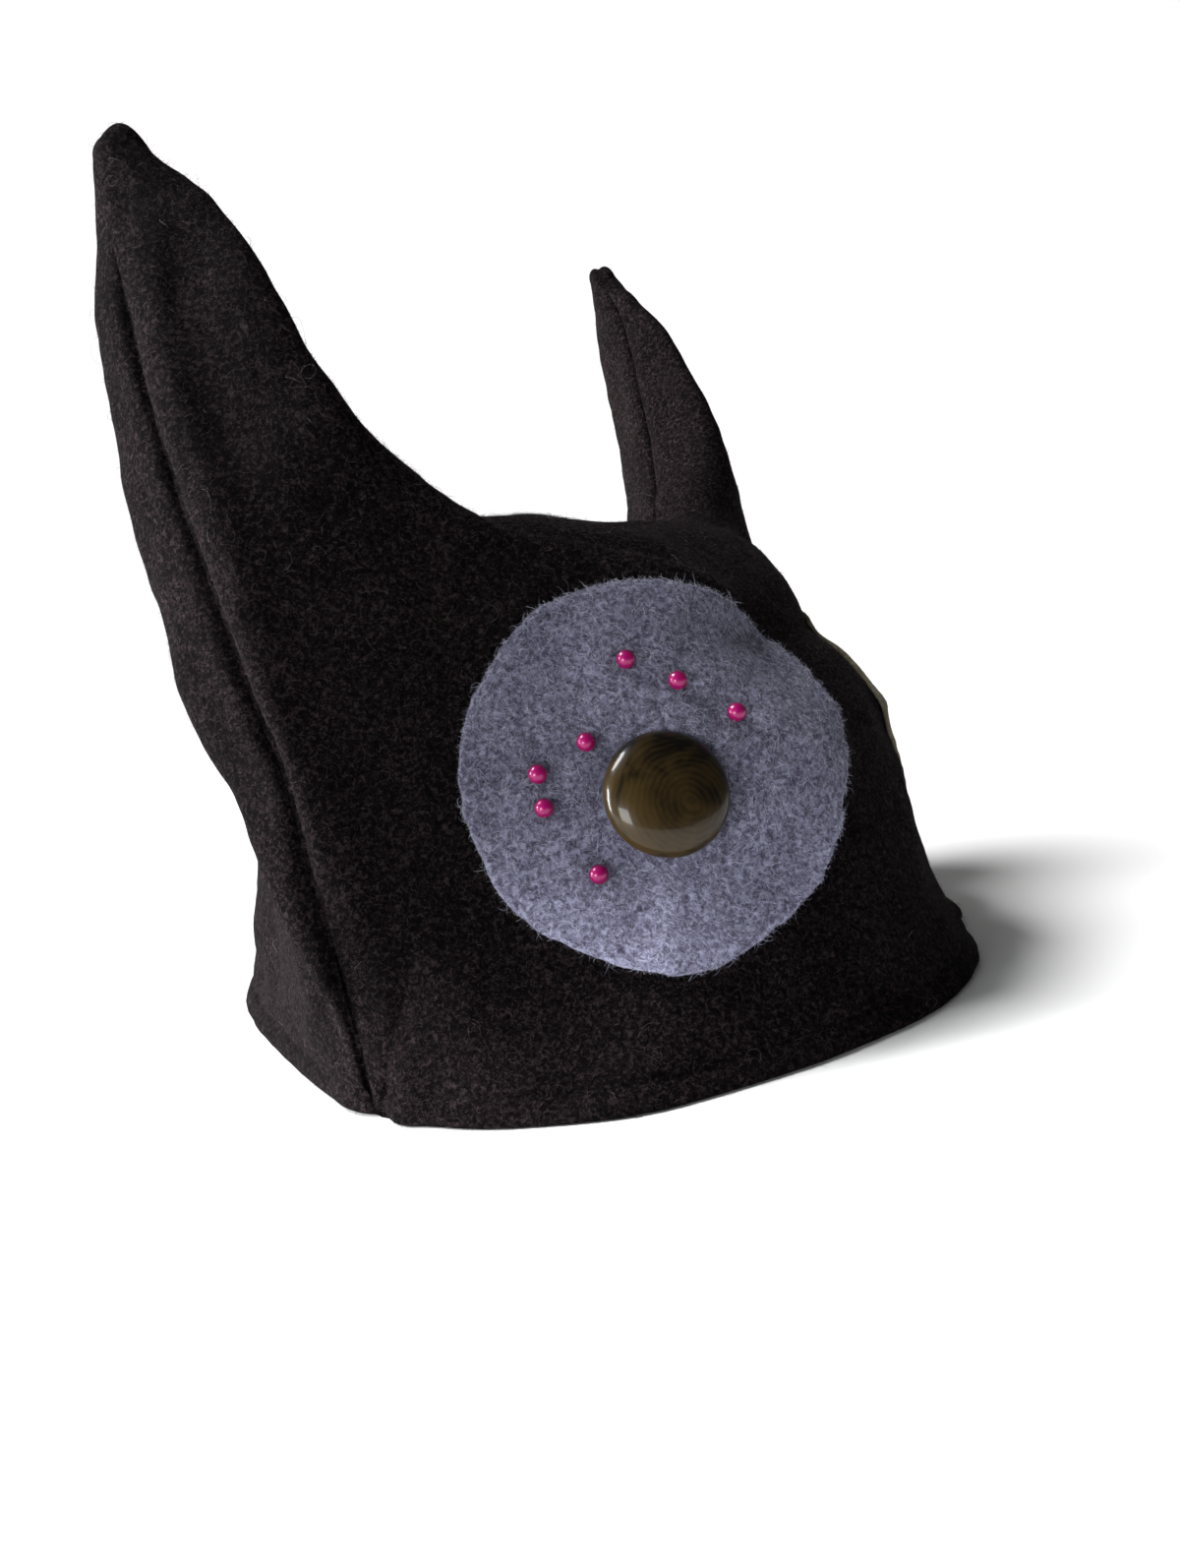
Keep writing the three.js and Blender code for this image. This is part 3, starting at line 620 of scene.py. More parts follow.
# The back's fold: how deep it sinks, how far it swells beside that, and where both lie from its crest line
FOLD_DEPTH, FOLD_SWELL, FOLD_WIDTH, FOLD_BEHIND, FOLD_BEFORE = 2.6, 2.2, 5, 6, 4
STITCH_WAY = 6.3  # the hem's line of stitches lies this far up the felt
STITCH_DEPTH, STITCH_WIDTH = 0.6, 0.75
PULL_DEPTH, PULL_WIDTH = 0.4, 2.4  # the felt that the stitches draw in
FELT_LUMPS = [(0.22, (3, 26, 14, 38)), (0.10, (4, 26, 5, 11))]  # height, then what ripples() takes
HEM_CALM, HEM_CALM_REACH = 0.6, 5  # the lumps are this much lower near the hem
LEVEL_HEIGHT = 14  # below this the wall's direction turns level
SLIM_FROM, SLIM = 6.4, 0.8  # the horn's tip has a thinner wall


def panel_face(front, hand):
    """The outer face of a half panel with its seams, folds and the turned hem, and the inner face."""
    grid = halves[(front, hand)]
    out = normals[(front, hand)].copy()
    from_low = way_along(grid)
    from_top = from_low[:, -1:] - from_low
    side = distance_to(SEAM_POINTS[("side", hand)], grid)
    top = distance_to(SEAM_POINTS[("top", hand)], grid)
    hem_side = (on_rib <= SIDE_STATION)[:, None]
    height = grid[..., 2]

    to_tip = (1 - CALM_SHARE * smooth((on_rib - CALM_FROM) / CALM_OVER))[:, None]
    dip = (seam_roll(side, *(FRONT_ROLL if front else BACK_ROLL)) + seam_roll(top, *TOP_ROLL)) * to_tip
    dip = np.minimum(dip, DEEPEST_ROLL)
    sunk = 0
    if front and hand < 0:
        # a soft ridge runs from the right horn over the brow, with a hollow above it
        along_ridge, along_hollow = (distance_to(line, grid) for line in (BROW_RIDGE, BROW_HOLLOW))
        sunk = HOLLOW_DEPTH * bell(along_hollow, HOLLOW_WIDTH)
        dip = dip + sunk - RIDGE_HEIGHT * bell(along_ridge, RIDGE_WIDTH)
    elif not front:
        # the back panel swells beside the seam and sinks behind the swelling, nearer the seam lower down
        low_part = smooth((100 - height) / 22) * smooth((height - 6) / 20)
        crest = 4 + 16 * np.clip((height - 20) / 50, 0, 1)
        sunk = FOLD_DEPTH * low_part * bell(side - crest - FOLD_BEHIND, FOLD_WIDTH)
        dip = dip + sunk - FOLD_SWELL * low_part * bell(side - crest + FOLD_BEFORE, FOLD_WIDTH)
    lumps = sum(size * ripples(grid, *waves) for size, waves in FELT_LUMPS)
    near_hem = np.where(hem_side, bell(from_low, HEM_CALM_REACH), 0)
    stitch_line = np.where(hem_side, bell(from_low - STITCH_WAY, STITCH_WIDTH), 0)
    pull = np.where(hem_side, bell(from_low - STITCH_WAY, PULL_WIDTH), 0)
    rise = lumps * (1 - HEM_CALM * near_hem) - STITCH_DEPTH * stitch_line - PULL_DEPTH * pull - dip

    # the direction across the wall turns near the seams so that the panels meet in a mitre
    blend = smooth(from_top / MITRE_REACH)[..., None]
    across = out * blend + out[:, -1:] * (1 - blend)
    low_blend = np.where(hem_side, 1, smooth(from_low / MITRE_REACH))[..., None]
    across = across * low_blend + out[:, :1] * (1 - low_blend)
    across[..., 2] *= np.where(hem_side, np.clip(height / LEVEL_HEIGHT, 0, 1), 1)
    across = unit(across)
    turned = smooth((TURN_HEIGHT + TURN_RAMP - height) / TURN_RAMP) * (hem_side | (height < LEVEL_HEIGHT))
    wall = np.where(on_rib > SLIM_FROM, SLIM, 1)[:, None] * (WALL + (TURN_WALL - WALL) * turned)

    # the turned edge is round
    edge = np.where(hem_side, round_edge(from_low, TURN_WALL / 2), 0)
    face = grid + across * (rise - edge)[..., None]
    inner = grid - across * (wall - edge + sunk)[..., None]
    return face, inner


faces_of = {}
inner_of = {}
for key in halves:
    faces_of[key], inner_of[key] = panel_face(*key)


def rim_of(lines, rows):
    """Indices round the edge of a grid, in order."""
    edge = [(i, 0) for i in range(lines)] + [(lines - 1, j) for j in range(1, rows)]
    edge += [(i, rows - 1) for i in range(lines - 2, -1, -1)] + [(0, j) for j in range(rows - 2, 0, -1)]
    return np.array(edge)


def closed_panel(name, outer, inner, material):
    """A closed body from the fine outer face and a coarser inner one."""
    lines, rows = outer.shape[:2]
    keep_i = np.unique(np.concatenate([np.arange(0, lines, INNER_STEP), [lines - 1]]))
    keep_j = np.unique(np.concatenate([np.arange(0, rows, INNER_STEP), [rows - 1]]))
    coarse = inner[np.ix_(keep_i, keep_j)]
    coarse_rows = coarse.shape[1]
    points = np.concatenate([outer.reshape(-1, 3), coarse.reshape(-1, 3)])
    base = lines * rows
    in_faces = grid_faces(*coarse.shape[:2])[:, ::-1] + base
    # the rim joins the two: each fine step goes to the nearest coarse point
    place_i = {v: k for k, v in enumerate(keep_i)}
    place_j = {v: k for k, v in enumerate(keep_j)}
    ring = rim_of(lines, rows)
    inner_at = []
    last = None
    for i, j in ring:
        if i in place_i and j in place_j:
            last = base + place_i[i] * coarse_rows + place_j[j]
        inner_at.append(last)
    joins = []
    count = len(ring)
    for k in range(count):
        n = (k + 1) % count
        a, b = ring[k] @ [rows, 1], ring[n] @ [rows, 1]
        joins.append((a, inner_at[k], b))
        if inner_at[n] != inner_at[k]:
            joins.append((b, inner_at[k], inner_at[n]))
    faces = np.concatenate([grid_faces(lines, rows), in_faces, np.array(joins)])
    # the pole of a horn is one point: weld it and drop the faces that have no area
    first, group = weld(points, 2000)
    points, faces = points[first], group[faces]
    faces = faces[(faces != np.roll(faces, 1, axis=1)).all(1)]
    return mesh_piece(name, points, outward(points, faces), [material])


def whole(grids, front):
    return np.concatenate([grids[(front, -1)][1:][::-1], grids[(front, 1)]])


def felt_panel(name, front, stands_for):
    piece = closed_panel(name, whole(faces_of, front), whole(inner_of, front), brown_felt)
    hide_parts(stands_for)
    return piece


felt_front = felt_panel("felt_front", True, "front_panel")
felt_back = felt_panel("felt_back", False, "back_panel")


# ---- fibres ---------------------------------------------------------------------------------------
# Kinds of fibres: length and radius in mm, joints, how steeply they leave the felt in radians, and curl
NAP = ((0.6, 1.5), (0.022, 0.05), 1, (0.15, 0.8), 0.5)
CURLS = ((1.8, 4.2), (0.018, 0.032), 4, (0.1, 0.6), 0.55)
STRAY_HAIRS = ((6, 15), (0.018, 0.028), 12, (0.2, 0.7), 0.32)
DISC_CURLS = ((1.8, 4.2), (0.018, 0.032), 4, (0.05, 0.4), 0.6)
DISC_NAP = ((0.7, 2.0), (0.014, 0.028), 1, (0.05, 0.5), 0.6)
EDGE_FIBRES = ((0.5, 1.7), (0.018, 0.03), 5, (0.5, 1.4), 0.5)
ROOT_DEPTH = 0.12
STRAND_SIDES = 3
SETTLE_FROM, SETTLE_MOST, SETTLE = 0.35, 0.5, 0.9  # fibres that rise higher bend back to the felt


def fibres(name, roots, outs, seed, kind, materials, shares):
    """Loose fibres as thin closed strands: each starts in the felt, lies over it and ends in a point."""
    length, radius, joints, lie, curl = kind
    rng = np.random.default_rng(seed)
    count = len(roots)
    aside = unit(np.cross(outs, unit(rng.normal(size=(count, 3)))))
    rise = rng.uniform(*lie, count)[:, None]
    way = unit(aside * np.cos(rise) + outs * np.sin(rise))
    step = (rng.uniform(*length, count) / joints)[:, None]
    thick = rng.uniform(*radius, count)[:, None]
    bend = rng.normal(size=(count, 1)) * curl
    at = roots - outs * ROOT_DEPTH
    rings = []
    for k in range(joints):
        across = unit(np.cross(way, outs + 0.01))
        size = thick * (1 - 0.35 * k / joints)
        rings.append(at[:, None] + size[..., None] * circle(STRAND_SIDES, across, np.cross(across, way)))
        at = at + way * step
        turned = bend + rng.normal(size=(count, 1)) * curl * 0.6
        away = np.sum((at - roots) * outs, axis=1, keepdims=True)
        settle = np.clip(away - SETTLE_FROM, 0, SETTLE_MOST) * SETTLE if lie[1] < 1 else 0
        way = unit(way + across * turned - outs * settle)
    points = np.concatenate([*rings, at[:, None]], axis=1)
    last = STRAND_SIDES * joints
    one = np.concatenate([[(0, 2, 1)], grid_faces(joints, STRAND_SIDES, wrap=True)[:, ::-1],
                          fan(last, last - STRAND_SIDES, STRAND_SIDES)])
    faces = (np.arange(count)[:, None, None] * (last + 1) + one).reshape(-1, 3)
    slots = np.repeat(rng.choice(len(materials), size=count, p=shares), len(one))
    return mesh_piece(name, points, faces, materials, slots)


def scatter(grids, seed, count, wanted):
    """Points spread over grids of points as densely as wanted, with the outward direction at each."""
    rng = np.random.default_rng(seed)
    corners = []
    turns = []
    for grid, sign in grids:
        faces = grid_faces(*grid.shape[:2])
        corners.append(grid.reshape(-1, 3)[faces])
        turns.append(np.full(len(faces), sign))
    corners, turns = np.concatenate(corners), np.concatenate(turns)
    across = np.cross(corners[:, 1] - corners[:, 0], corners[:, 2] - corners[:, 0]) * turns[:, None]
    size = np.linalg.norm(across, axis=1) * wanted(corners.mean(1))
    picked = rng.choice(len(size), size=count, p=size / size.sum())
    u, v = rng.uniform(size=(2, count))
    fold = u + v > 1
    u, v = np.where(fold, 1 - u, u), np.where(fold, 1 - v, v)
    c = corners[picked]
    points = c[:, 0] + (c[:, 1] - c[:, 0]) * u[:, None] + (c[:, 2] - c[:, 0]) * v[:, None]
    return points, unit(across[picked])


def to_right(p):
    """More fibres on the wearer's right side, which the picture shows."""
    return 0.25 + 0.75 * smooth((15 - p[:, 0]) / 50)


FIBRE_KINDS = [
    ("nap", NAP, [brown_nap, dark_nap, heather_nap], (0.28, 0.42, 0.3)),
    ("curls", CURLS, [brown_nap, heather_nap, pale_hair], (0.6, 0.39, 0.01)),
    ("stray_hairs", STRAY_HAIRS, [brown_nap, pale_hair], (0.45, 0.55)),
]
FIBRE_COUNTS = {"front": (40000, 5000, 80), "back": (12000, 900, 40)}
nap_pieces = {"front": [], "back": []}
for part, front, part_seed in (("front", True, 21), ("back", False, 22)):
    part_grids = [(faces_of[(front, h)], outward_turn[(front, h)]) for h in (-1, 1)]
    for k, (kind_name, kind, materials, shares) in enumerate(FIBRE_KINDS):
        seed = part_seed + 10 * k
        roots, outs = scatter(part_grids, seed, FIBRE_COUNTS[part][k], to_right)
        piece = fibres(f"{kind_name}_{part}", roots, outs, seed, kind, materials, shares)
        nap_pieces[part].append(piece)

# ---- felt under the eyes --------------------------------------------------------------------------
EYES = {"right": (-1, (44.5, -55.5, 52.5)), "left": (1, (56, -43.5, 45))}
EYE_AXIS = (0.6, -0.73, 0.32)
BUTTON_SHIFT = (-2.6, -1.1)
DISC_SHIFT = (0.0, 5.5)
# Radius of the hand-cut disc every 15 degrees, from the beak's side upwards and round
DISC_CUT = [40.9, 41.9, 42.7, 43.3, 42.1, 40, 39.9, 40.1, 40.9, 40.3, 40.5, 41,
            41.2, 41.0, 41.7, 41.1, 40.7, 41.4, 41, 38.9, 38.3, 38.4, 38.5, 39.2]
DISC_THICK = {"right": 2.0, "left": 1.4}
DISC_RINGS = 36
DISC_SPOKES = 280
DISC_SIZE = {"right": 1.0, "left": 0.93}
# Close rings round the cut edge: how far in they lie, and the share of the thickness there
RIM_WIDTH = 1.5
RIM_IN = np.array([0.9, 0.5, 0.24, 0.08, 0.0])
RIM_SHARE = np.array([0.97, 0.9, 0.76, 0.6, 0.42])
DISC_STAND = 0.3
DISC_LUMPS = [(0.16, (30, 7, 18)), (0.06, (30, 2.2, 5))]  # height, then waves and their lengths
BUTTON_DIMPLE, BEAD_DIMPLE = (0.5, 8), (0.55, 2.6)  # depth and width
BUTTON_CLEAR = 11.5  # no fibres grow this near to the button's middle
LIFT_FROM = 0.72  # share of the radius at which the edge begins to lift
REST_STEP, REST_REACH = 2.0, 48  # the grid on which the felt below a disc is measured
RAY_START = 60
BEAD_RADIUS = 1.95
# Beads from the eye's middle: towards the beak, up, and how far the hole is turned
BEADS = [(-4.8, 27.3, 0.4), (4.5, 21.2, 1.9), (14.9, 12.9, 1.1), (-15.8, 12, 2.6), (-26.2, 7.4, 0.2),
         (-26, 0.8, 1.4), (-17.8, -13.6, 2.2)]
# Where the disc's edge stands off the felt: angle in degrees, how far in mm, and half its width in degrees
EDGE_LIFTS = [(-35, 1.7, 24), (20, 1.2, 14), (62, 0.5, 16), (-100, 0.8, 18), (150, 0.4, 30)]

under = np.concatenate([g.reshape(-1, 3) for g in (faces_of[(True, -1)], faces_of[(True, 1)])])
under_faces = np.concatenate([half_faces, half_faces + LINES * ROWS])
felt_tree = BVHTree.FromPolygons([tuple(q) for q in under], [tuple(f) for f in under_faces.tolist()])


def eye_frame(side):
    hand, centre = EYES[side]
    centre = np.array(centre) * [hand, 1, 1]
    axis = unit(np.array(EYE_AXIS) * [hand, 1, 1])
    up = unit(np.array([0, 0, 1]) - axis * axis[2])
    fore = -hand * np.cross(up, axis)
    return hand, centre, axis, up, fore


def felt_height(side, fore_by, up_by):
    """How far the felt stands out along the eye's axis at places in the eye's plane."""
    _, centre, axis, up, fore = eye_frame(side)
    found = np.empty(len(fore_by))
    for k, (f, u) in enumerate(zip(fore_by, up_by)):
        origin = centre + fore * f + up * u + axis * RAY_START
        hit = felt_tree.ray_cast(Vector(origin), Vector(-axis))
        found[k] = RAY_START - hit[3] if hit[3] is not None else np.nan
    return found


def periodic(values, angles):
    """A smooth closed curve through evenly spaced values."""
    terms = np.fft.rfft(values) / len(values)
    total = np.full(angles.shape, terms[0].real)
    for k in range(1, len(terms)):
        weight = 2 if 2 * k < len(values) else 1
        total += weight * (terms[k] * np.exp(1j * k * angles)).real
    return total


def edge_wobble(angles, seed):
    """The small steps and bites that scissors leave."""
    rng = np.random.default_rng(seed)
    total = np.zeros_like(angles)
    for k in range(14, 75):
        total += rng.normal() * (20 / k)**0.9 * np.cos(k * angles + rng.uniform(0, 2 * math.pi))
    bold = 0.55 + 0.9 * bell(np.mod(angles + math.pi, 2 * math.pi) - math.pi, 0.9)
    return total / np.std(total) * 0.2 * bold


def lain_felt(side):
    """The felt's height under a disc on a coarse grid, made soft but never lower than the felt."""
    steps = np.arange(-REST_REACH, REST_REACH + 1, REST_STEP)
    fore_by, up_by = np.meshgrid(steps + DISC_SHIFT[0], steps + DISC_SHIFT[1], indexing="ij")
    height = felt_height(side, fore_by.ravel(), up_by.ravel()).reshape(fore_by.shape)
    height[np.isnan(height)] = np.nanmin(height)
    soft = height.copy()
    for _ in range(3):
        near = np.pad(soft, 1, mode="edge")
        soft = (near[:-2, 1:-1] + near[2:, 1:-1] + near[1:-1, :-2] + near[1:-1, 2:] + 2 * soft) / 6
    return np.maximum(soft, height)


def make_disc(side, seed, material):
    """A disc laid on the felt: its piece, the points of its face, and their places in the eye's plane."""
    hand, centre, axis, up, fore = eye_frame(side)
    angles = np.arange(DISC_SPOKES) * 2 * math.pi / DISC_SPOKES
    edge = DISC_SIZE[side] * periodic(DISC_CUT, angles) + edge_wobble(angles, seed)
    even = np.linspace(0, 1, DISC_RINGS + 1)[1:]
    radii = np.concatenate([even[:, None] * (edge - RIM_WIDTH), edge - RIM_IN[:, None]])
    rings = len(radii)
    f = DISC_SHIFT[0] + np.concatenate([[0], (radii * np.cos(angles)).ravel()])
    u = DISC_SHIFT[1] + np.concatenate([[0], (radii * np.sin(angles)).ravel()])
    lain = lain_felt(side)
    gi, gj = (np.clip((v - shift + REST_REACH) / REST_STEP, 0, len(lain) - 1.001)
              for v, shift in zip((f, u), DISC_SHIFT))
    i, j = gi.astype(int), gj.astype(int)
    x, y = gi - i, gj - j
    height = (lain[i, j] * (1 - x) * (1 - y) + lain[i + 1, j] * x * (1 - y)
              + lain[i, j + 1] * (1 - x) * y + lain[i + 1, j + 1] * x * y)
    place = np.stack([f * hand, u, np.full_like(f, seed)], -1)
    lumps = sum(size * ripples(place, seed + k, *waves) for k, (size, waves) in enumerate(DISC_LUMPS))
    angle_at = np.arctan2(u - DISC_SHIFT[1], f - DISC_SHIFT[0])
    outness = np.hypot(u - DISC_SHIFT[1], f - DISC_SHIFT[0]) / periodic(DISC_CUT, angle_at)
    lift = np.zeros_like(f)
    for at, far, wide in (EDGE_LIFTS if hand < 0 else []):
        off = np.degrees(np.mod(angle_at - math.radians(at) + math.pi, 2 * math.pi) - math.pi)
        lift += far * bell(off, wide) * smooth((outness - LIFT_FROM) / (1 - LIFT_FROM))
    dimple = np.zeros_like(f)
    pressed = [(BUTTON_SHIFT, BUTTON_DIMPLE)] + [(bead[:2], BEAD_DIMPLE) for bead in BEADS]
    for (fore_by, up_by), (depth, wide) in pressed:
        dimple += depth * bell(np.hypot(f - fore_by, u - up_by), wide)
    low = height + DISC_STAND + lift + 0.5 * lumps
    share = np.concatenate([np.ones(1 + DISC_RINGS * DISC_SPOKES), np.repeat(RIM_SHARE, DISC_SPOKES)])
    thick = DISC_THICK[side]
    high = low + thick * share + 0.5 * lumps * share - dimple
    low = low + thick * 0.42 * (1 - share) * 0.6
    flat = centre + f[:, None] * fore + u[:, None] * up
    points = np.concatenate([flat + high[:, None] * axis, flat + low[:, None] * axis])
    count = len(f)
    last = 1 + (rings - 1) * DISC_SPOKES
    faces = np.concatenate([
        round_faces(rings, DISC_SPOKES),
        round_faces(rings, DISC_SPOKES, count)[:, ::-1],
        band(last, count + last, DISC_SPOKES),
    ])
    piece = mesh_piece(f"felt_disc_{side}", points, outward(points, faces), [material])
    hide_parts(f"eye_disc_{side}")
    return piece, points[:count], (f, u, high)


def disc_top(data, f, u):
    """The height of the disc's face at one place."""
    fs, us, high = data
    near = np.argsort((fs - f)**2 + (us - u)**2)[:6]
    return float(high[near].mean())


# ---- buttons and beads ----------------------------------------------------------------------------
# Radius and height; a smooth curve runs through all but the first three
BUTTON_PROFILE = [(0, 0), (3, 0), (3, 1.4), (11.2, 1.8), (12.1, 2.3), (12.55, 3.1), (12.6, 3.9),
                  (12.35, 4.75), (11.7, 5.7), (10.5, 6.65), (8.8, 7.5), (6.6, 8.2), (4.0, 8.7), (1.6, 8.95),
                  (0, 9)]
BUTTON_SHANK_POINTS = 3
BUTTON_TURNS = 112
BUTTON_GAP = 0.12
BEAD_TURNS = 30
BEAD_HOLE, BEAD_MOUTH = 0.45, 0.5
BEAD_GAP = 0.1
THREAD_SIDES, THREAD_RADIUS, THREAD_REACH = 8, 0.13, 0.75


def rounded(profile, between):
    """The profile with a smooth curve through its upper points."""
    fixed, curved = profile[:BUTTON_SHANK_POINTS], np.array(profile[BUTTON_SHANK_POINTS:])
    at = curve_through(np.c_[curved, np.zeros(len(curved))])
    where = np.linspace(0, len(curved) - 1, (len(curved) - 1) * between + 1)
    return np.concatenate([fixed, at(where)[:, :2]])


def turned_rings(profile, turns, centre, across, over, axis):
    """Rings of points about an axis, one for each radius and height of the profile."""
    radii, heights = np.asarray(profile)[:, :, None, None].swapaxes(0, 1)
    return centre + circle(turns, across, over) * radii + axis * heights


def make_button(side, centre, across, over, axis, material):
    profile = rounded(BUTTON_PROFILE, 3)
    rings = turned_rings(profile[1:-1], BUTTON_TURNS, centre, across, over, axis)
    points = np.concatenate([[centre + axis * profile[0][1]], rings.reshape(-1, 3),
                             [centre + axis * profile[-1][1]]])
    last = len(points) - 1
    faces = np.concatenate([round_faces(len(rings), BUTTON_TURNS),
                            fan(last, last - BUTTON_TURNS, BUTTON_TURNS)[:, ::-1]])
    return mesh_piece(f"round_button_{side}", points, outward(points, faces, centre), [material])


def bead_profile(steps=18):
    """Half a round bead about its hole, from one mouth of the hole to the other, and back through it."""
    hole = math.asin(BEAD_HOLE / BEAD_RADIUS)
    mouth = BEAD_RADIUS * math.cos(hole)
    turns = np.linspace(hole + 0.09, math.pi - hole - 0.09, steps)
    line = [(BEAD_RADIUS * math.sin(t), -BEAD_RADIUS * math.cos(t)) for t in turns]
    start = [(BEAD_HOLE, -mouth + 0.25), (BEAD_MOUTH, -mouth + 0.04)]
    return start + line + [(r, -h) for r, h in start[::-1]]


def make_bead(name, centre, way, aside, axis, material):
    rings = turned_rings(bead_profile(), BEAD_TURNS, centre, aside, axis, way)
    starts = np.arange(len(rings)) * BEAD_TURNS
    faces = np.concatenate([band(a, b, BEAD_TURNS) for a, b in zip(starts, np.roll(starts, -1))])
    points = rings.reshape(-1, 3)
    return mesh_piece(name, points, outward(points, faces, centre), [material])


def make_thread(name, line, material):
    """A short thread along a line of points, closed at both ends."""
    way = unit(np.gradient(line, axis=0))
    across = unit(np.cross(way, [0.3, 0.2, 0.93]))
    radii = np.full(len(line), THREAD_RADIUS)
    points, faces = tube(line, radii, across, np.cross(way, across), THREAD_SIDES, line[[0, -1]])
    return mesh_piece(name, points, faces, [material])


def make_eye(side, seed, disc_felt, loose, button_material, fuzz_count):
    _, centre, axis, up, fore = eye_frame(side)
    disc, top, data = make_disc(side, seed, disc_felt)
    rng = np.random.default_rng(seed + 5)
    top_grid = top[1:].reshape(-1, DISC_SPOKES, 3)
    closed = np.concatenate([top_grid, top_grid[:, :1]], axis=1)
    sign = np.sign((face_areas(closed.reshape(-1, 3), grid_faces(*closed.shape[:2])) @ axis).sum())

    def clear_of_button(p):
        f, u = (p - centre) @ fore, (p - centre) @ up
        return np.hypot(f - BUTTON_SHIFT[0], u - BUTTON_SHIFT[1]) > BUTTON_CLEAR

    roots, ways = scatter([(closed, sign)], seed + 1, fuzz_count, clear_of_button)
    companions = [fibres(f"disc_fibres_{side}", roots, ways, seed + 2, DISC_CURLS, loose, (0.5, 0.5))]
    roots, ways = scatter([(closed, sign)], seed + 3, fuzz_count * 8, clear_of_button)
    companions.append(fibres(f"disc_nap_{side}", roots, ways, seed + 4, DISC_NAP, loose, (0.7, 0.3)))
    # fibres that stand out of the cut edge
    edge = top_grid[-4]
    spots = rng.choice(DISC_SPOKES, size=fuzz_count // 7)
    ways = unit(edge[spots] - top[0])
    roots = edge[spots] + rng.normal(size=ways.shape) * 0.25
    ways = unit(ways + 0.35 * rng.normal(size=ways.shape))
    companions.append(fibres(f"edge_fibres_{side}", roots, ways, seed + 6, EDGE_FIBRES, loose, (0.4, 0.6)))
    seat = disc_top(data, *BUTTON_SHIFT) + BUTTON_GAP
    place = centre + fore * BUTTON_SHIFT[0] + up * BUTTON_SHIFT[1] + axis * seat
    button = make_button(side, place, fore, up, axis, button_material)
    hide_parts(f"button_{side}")
    reach = BEAD_RADIUS + THREAD_REACH
    along = np.linspace(-reach, reach, 13)[:, None]
    for k, (bead_fore, bead_up, turn) in enumerate(BEADS):
        way = fore * math.cos(turn) + up * math.sin(turn)
        height = disc_top(data, bead_fore, bead_up) + BEAD_RADIUS + BEAD_GAP
        at = centre + fore * bead_fore + up * bead_up + axis * height
        bead = make_bead(f"pearl_{side}_{k + 1}", at, way, np.cross(axis, way), axis, pearl)
        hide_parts(f"bead_{side}_{k + 1}")
        # the thread comes out of the hole and goes down into the disc
        line = at + way * along - axis * (np.maximum(abs(along) - 1.2, 0)**1.4 * 1.15 + 0.02)
        thread = make_thread(f"bead_thread_{side}_{k + 1}", line, bead_thread)


make_eye("right", 101, lavender_felt, [lavender_fibre, white_fibre], olive_button,
         3800)
make_eye("left", 201, khaki_felt, [khaki_fibre, cream_fibre], brown_button,
         500)

# ---- stitches round the hem -------------------------------------------------------------------------
STITCH_PITCH = 2.9
STITCH_LENGTH = 2.2
STITCH_RADIUS = 0.18
STITCH_SIDES = 6
STITCH_POINTS = 7
STITCH_CAP = 0.08
STITCH_FIRST, STITCH_LAST = 2.0, 3.5  # how far from the line's ends the stitches begin and stop


def stitch_line(front, hand):
    """The line of the hem's stitches on a half panel, and the outward direction along it."""
    lines = np.nonzero(on_rib < SIDE_STATION - 0.015)[0]
    way = way_along(halves[(front, hand)][lines])
    at, out = (np.array([[np.interp(STITCH_WAY, way[i], values[l][:, k]) for k in range(3)]
                         for i, l in enumerate(lines)])
               for values in (faces_of[(front, hand)], normals[(front, hand)]))
    return at, unit(out)


def make_stitches(part, front, seed):
    rng = np.random.default_rng(seed)
    (right, right_out), (left, left_out) = stitch_line(front, -1), stitch_line(front, 1)
    line = np.concatenate([right[::-1], left[1:]])
    outs = np.concatenate([right_out[::-1], left_out[1:]])
    way = way_along(line)

    def pick(values, where):
        return np.stack([np.interp(where, way, values[:, k]) for k in range(3)], -1)

    starts = np.arange(STITCH_FIRST, way[-1] - STITCH_LAST, STITCH_PITCH)
    starts = starts + rng.normal(size=len(starts)) * 0.08
    along = np.linspace(0, 1, STITCH_POINTS)
    from_middle = 2 * along - 1
    height = 0.02 - 0.5 * from_middle**4
    size = STITCH_RADIUS * np.sqrt(np.clip(1 - from_middle**6, 0.12, 1))
    points, faces = [], []
    for k, start in enumerate(starts):
        where = start + along * STITCH_LENGTH * rng.uniform(0.93, 1.05)
        middle = pick(line, where)
        out = unit(pick(outs, where))
        run = unit(np.gradient(middle, axis=0))
        across = unit(np.cross(out, run))
        middle = middle + out * height[:, None] + across * rng.normal() * 0.06
        ends = middle[[0, -1]] + run[[0, -1]] * [[-STITCH_CAP], [STITCH_CAP]]
        body, own = tube(middle, size, across, out, STITCH_SIDES, ends)
        points.append(body)
        faces.append(own + k * len(body))
    piece = mesh_piece(f"hem_stitches_{part}", np.concatenate(points), np.concatenate(faces), [dark_thread])
    return piece


nap_pieces["front"].append(make_stitches("front", True, 61))
nap_pieces["back"].append(make_stitches("back", False, 62))

# ---- stage ------------------------------------------------------------------------------------------
PALE = 0.88
AMBIENT = 0.09
BRIGHT = 1.05  # the room behind the hat
FLOOR_MIDDLE = (400, 600)  # most of the floor lies behind the hat
FLOOR_RADIUS = 1150
FLOOR_SIDES = 128


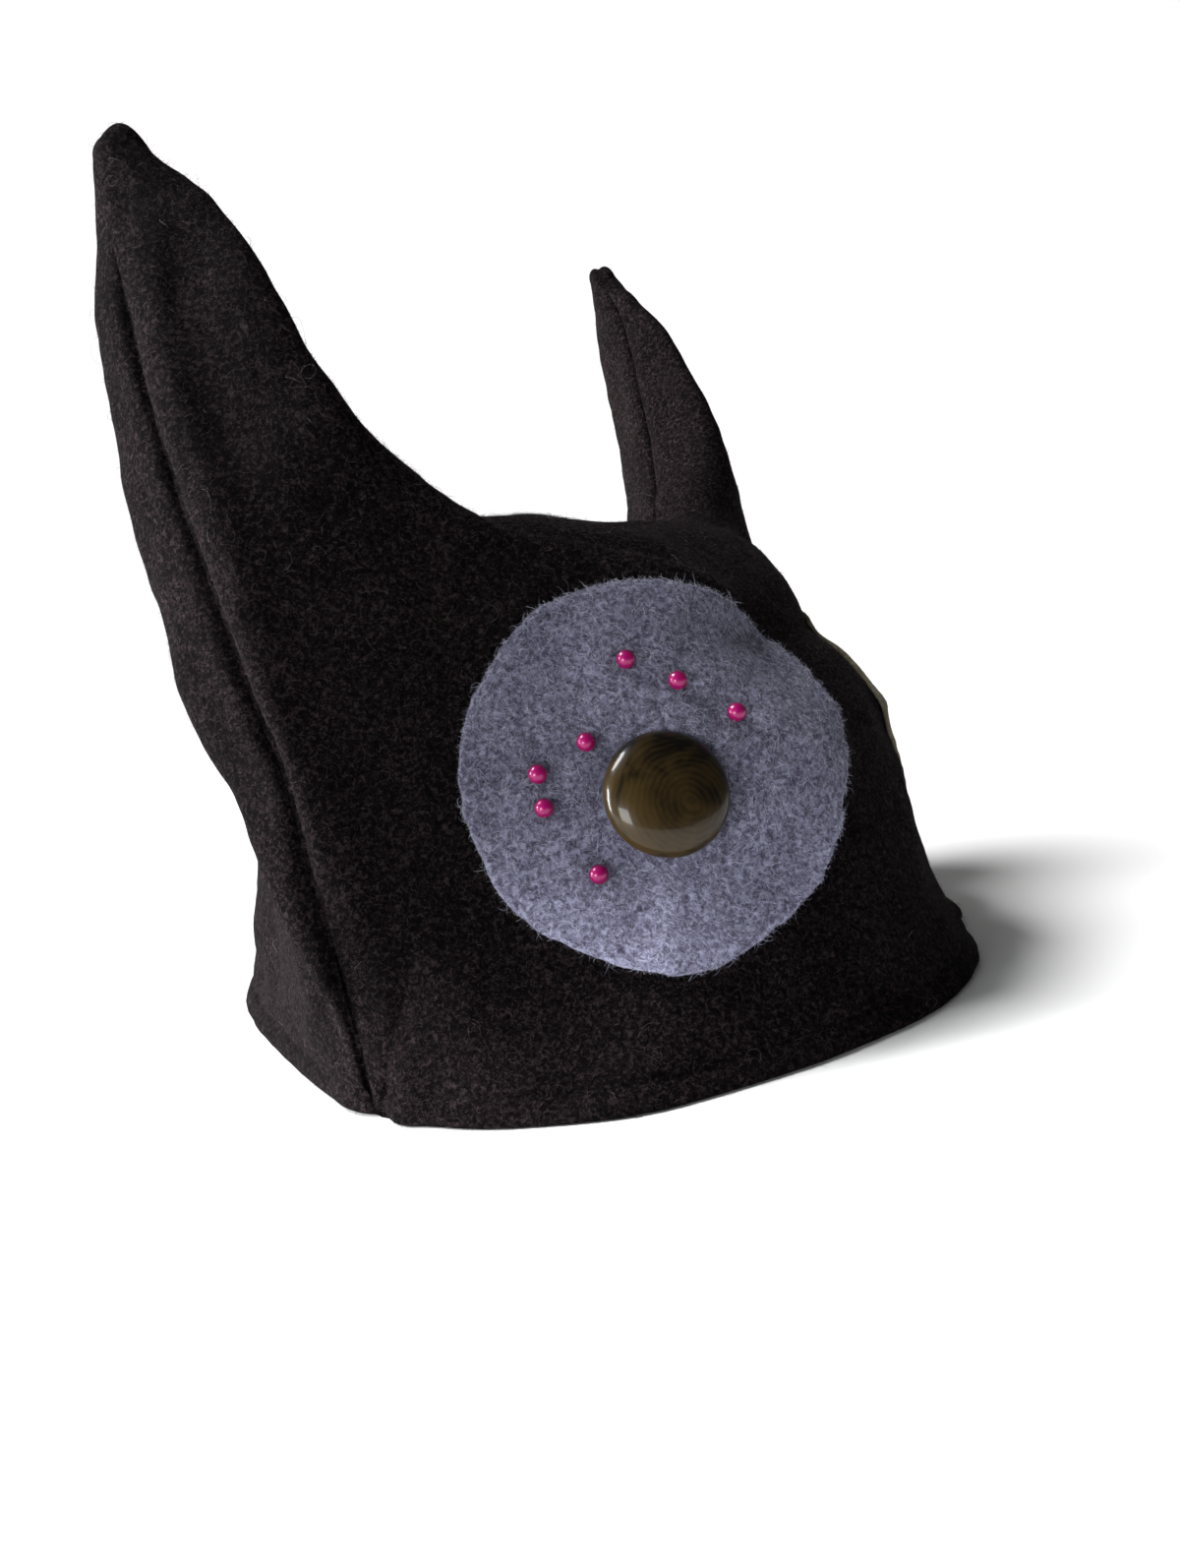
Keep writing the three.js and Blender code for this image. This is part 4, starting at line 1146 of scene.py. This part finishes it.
def make_stage():
    floor_material = new_material("pale_floor", Base_Color=(PALE, PALE, PALE, 1), Roughness=0.9,
                                  Specular_IOR_Level=0.1)[0]
    middle = np.array([*FLOOR_MIDDLE, 0])
    across, over = np.eye(3)[:2]
    points = np.concatenate([[middle], middle + FLOOR_RADIUS * circle(FLOOR_SIDES, across, over)]) * MM
    mesh = bpy.data.meshes.new("floor")
    mesh.from_pydata(points.tolist(), [], round_faces(1, FLOOR_SIDES).tolist())
    mesh.materials.append(floor_material)
    floor = bpy.data.objects.new("floor", mesh)
    bpy.context.scene.collection.objects.link(floor)
    world = bpy.data.worlds.new("studio")
    world.use_nodes = True
    tree = world.node_tree
    way = node(tree, "ShaderNodeTexCoord").outputs["Generated"]
    ahead = vectors(tree, "DOT_PRODUCT", way, LOOK)
    tone = ramp(tree, ahead, [(0.66, (AMBIENT,) * 3), (0.75, (BRIGHT,) * 3)])
    tree.links.new(tone, tree.nodes["Background"].inputs["Color"])
    tree.nodes["Background"].inputs["Strength"].default_value = 1.0
    bpy.context.scene.world = world


def lamp(name, kind, energy, place, aim, colour=(1, 1, 1), **settings):
    """A light at a place, in metres, that shines towards its aim."""
    data = bpy.data.lights.new(name, kind)
    data.energy = energy
    data.color = colour
    for key, value in settings.items():
        setattr(data, key, value)
    light = bpy.data.objects.new(name, data)
    bpy.context.scene.collection.objects.link(light)
    place, aim = Vector(place), Vector(aim)
    turn = (aim - place).to_track_quat("-Z", "Y").to_matrix().to_4x4()
    light.matrix_world = Matrix.Translation(place) @ turn


make_stage()
lamp("daylight", "SUN", 4.7, (-0.27, 0.5, 0.82), (0, 0, 0), angle=math.radians(24))
lamp("window", "AREA", 30.0, (-0.64, 0.64, 0.15), (-0.04, -0.03, 0.09), (0.97, 0.99, 1), shape="RECTANGLE",
     size=0.22, size_y=0.55)
lamp("fill", "AREA", 4.5, (-0.85, -0.12, 0.07), (-0.05, -0.06, 0.06), (0.95, 0.98, 1), size=0.3)
bpy.context.scene.view_settings.view_transform = "Standard"
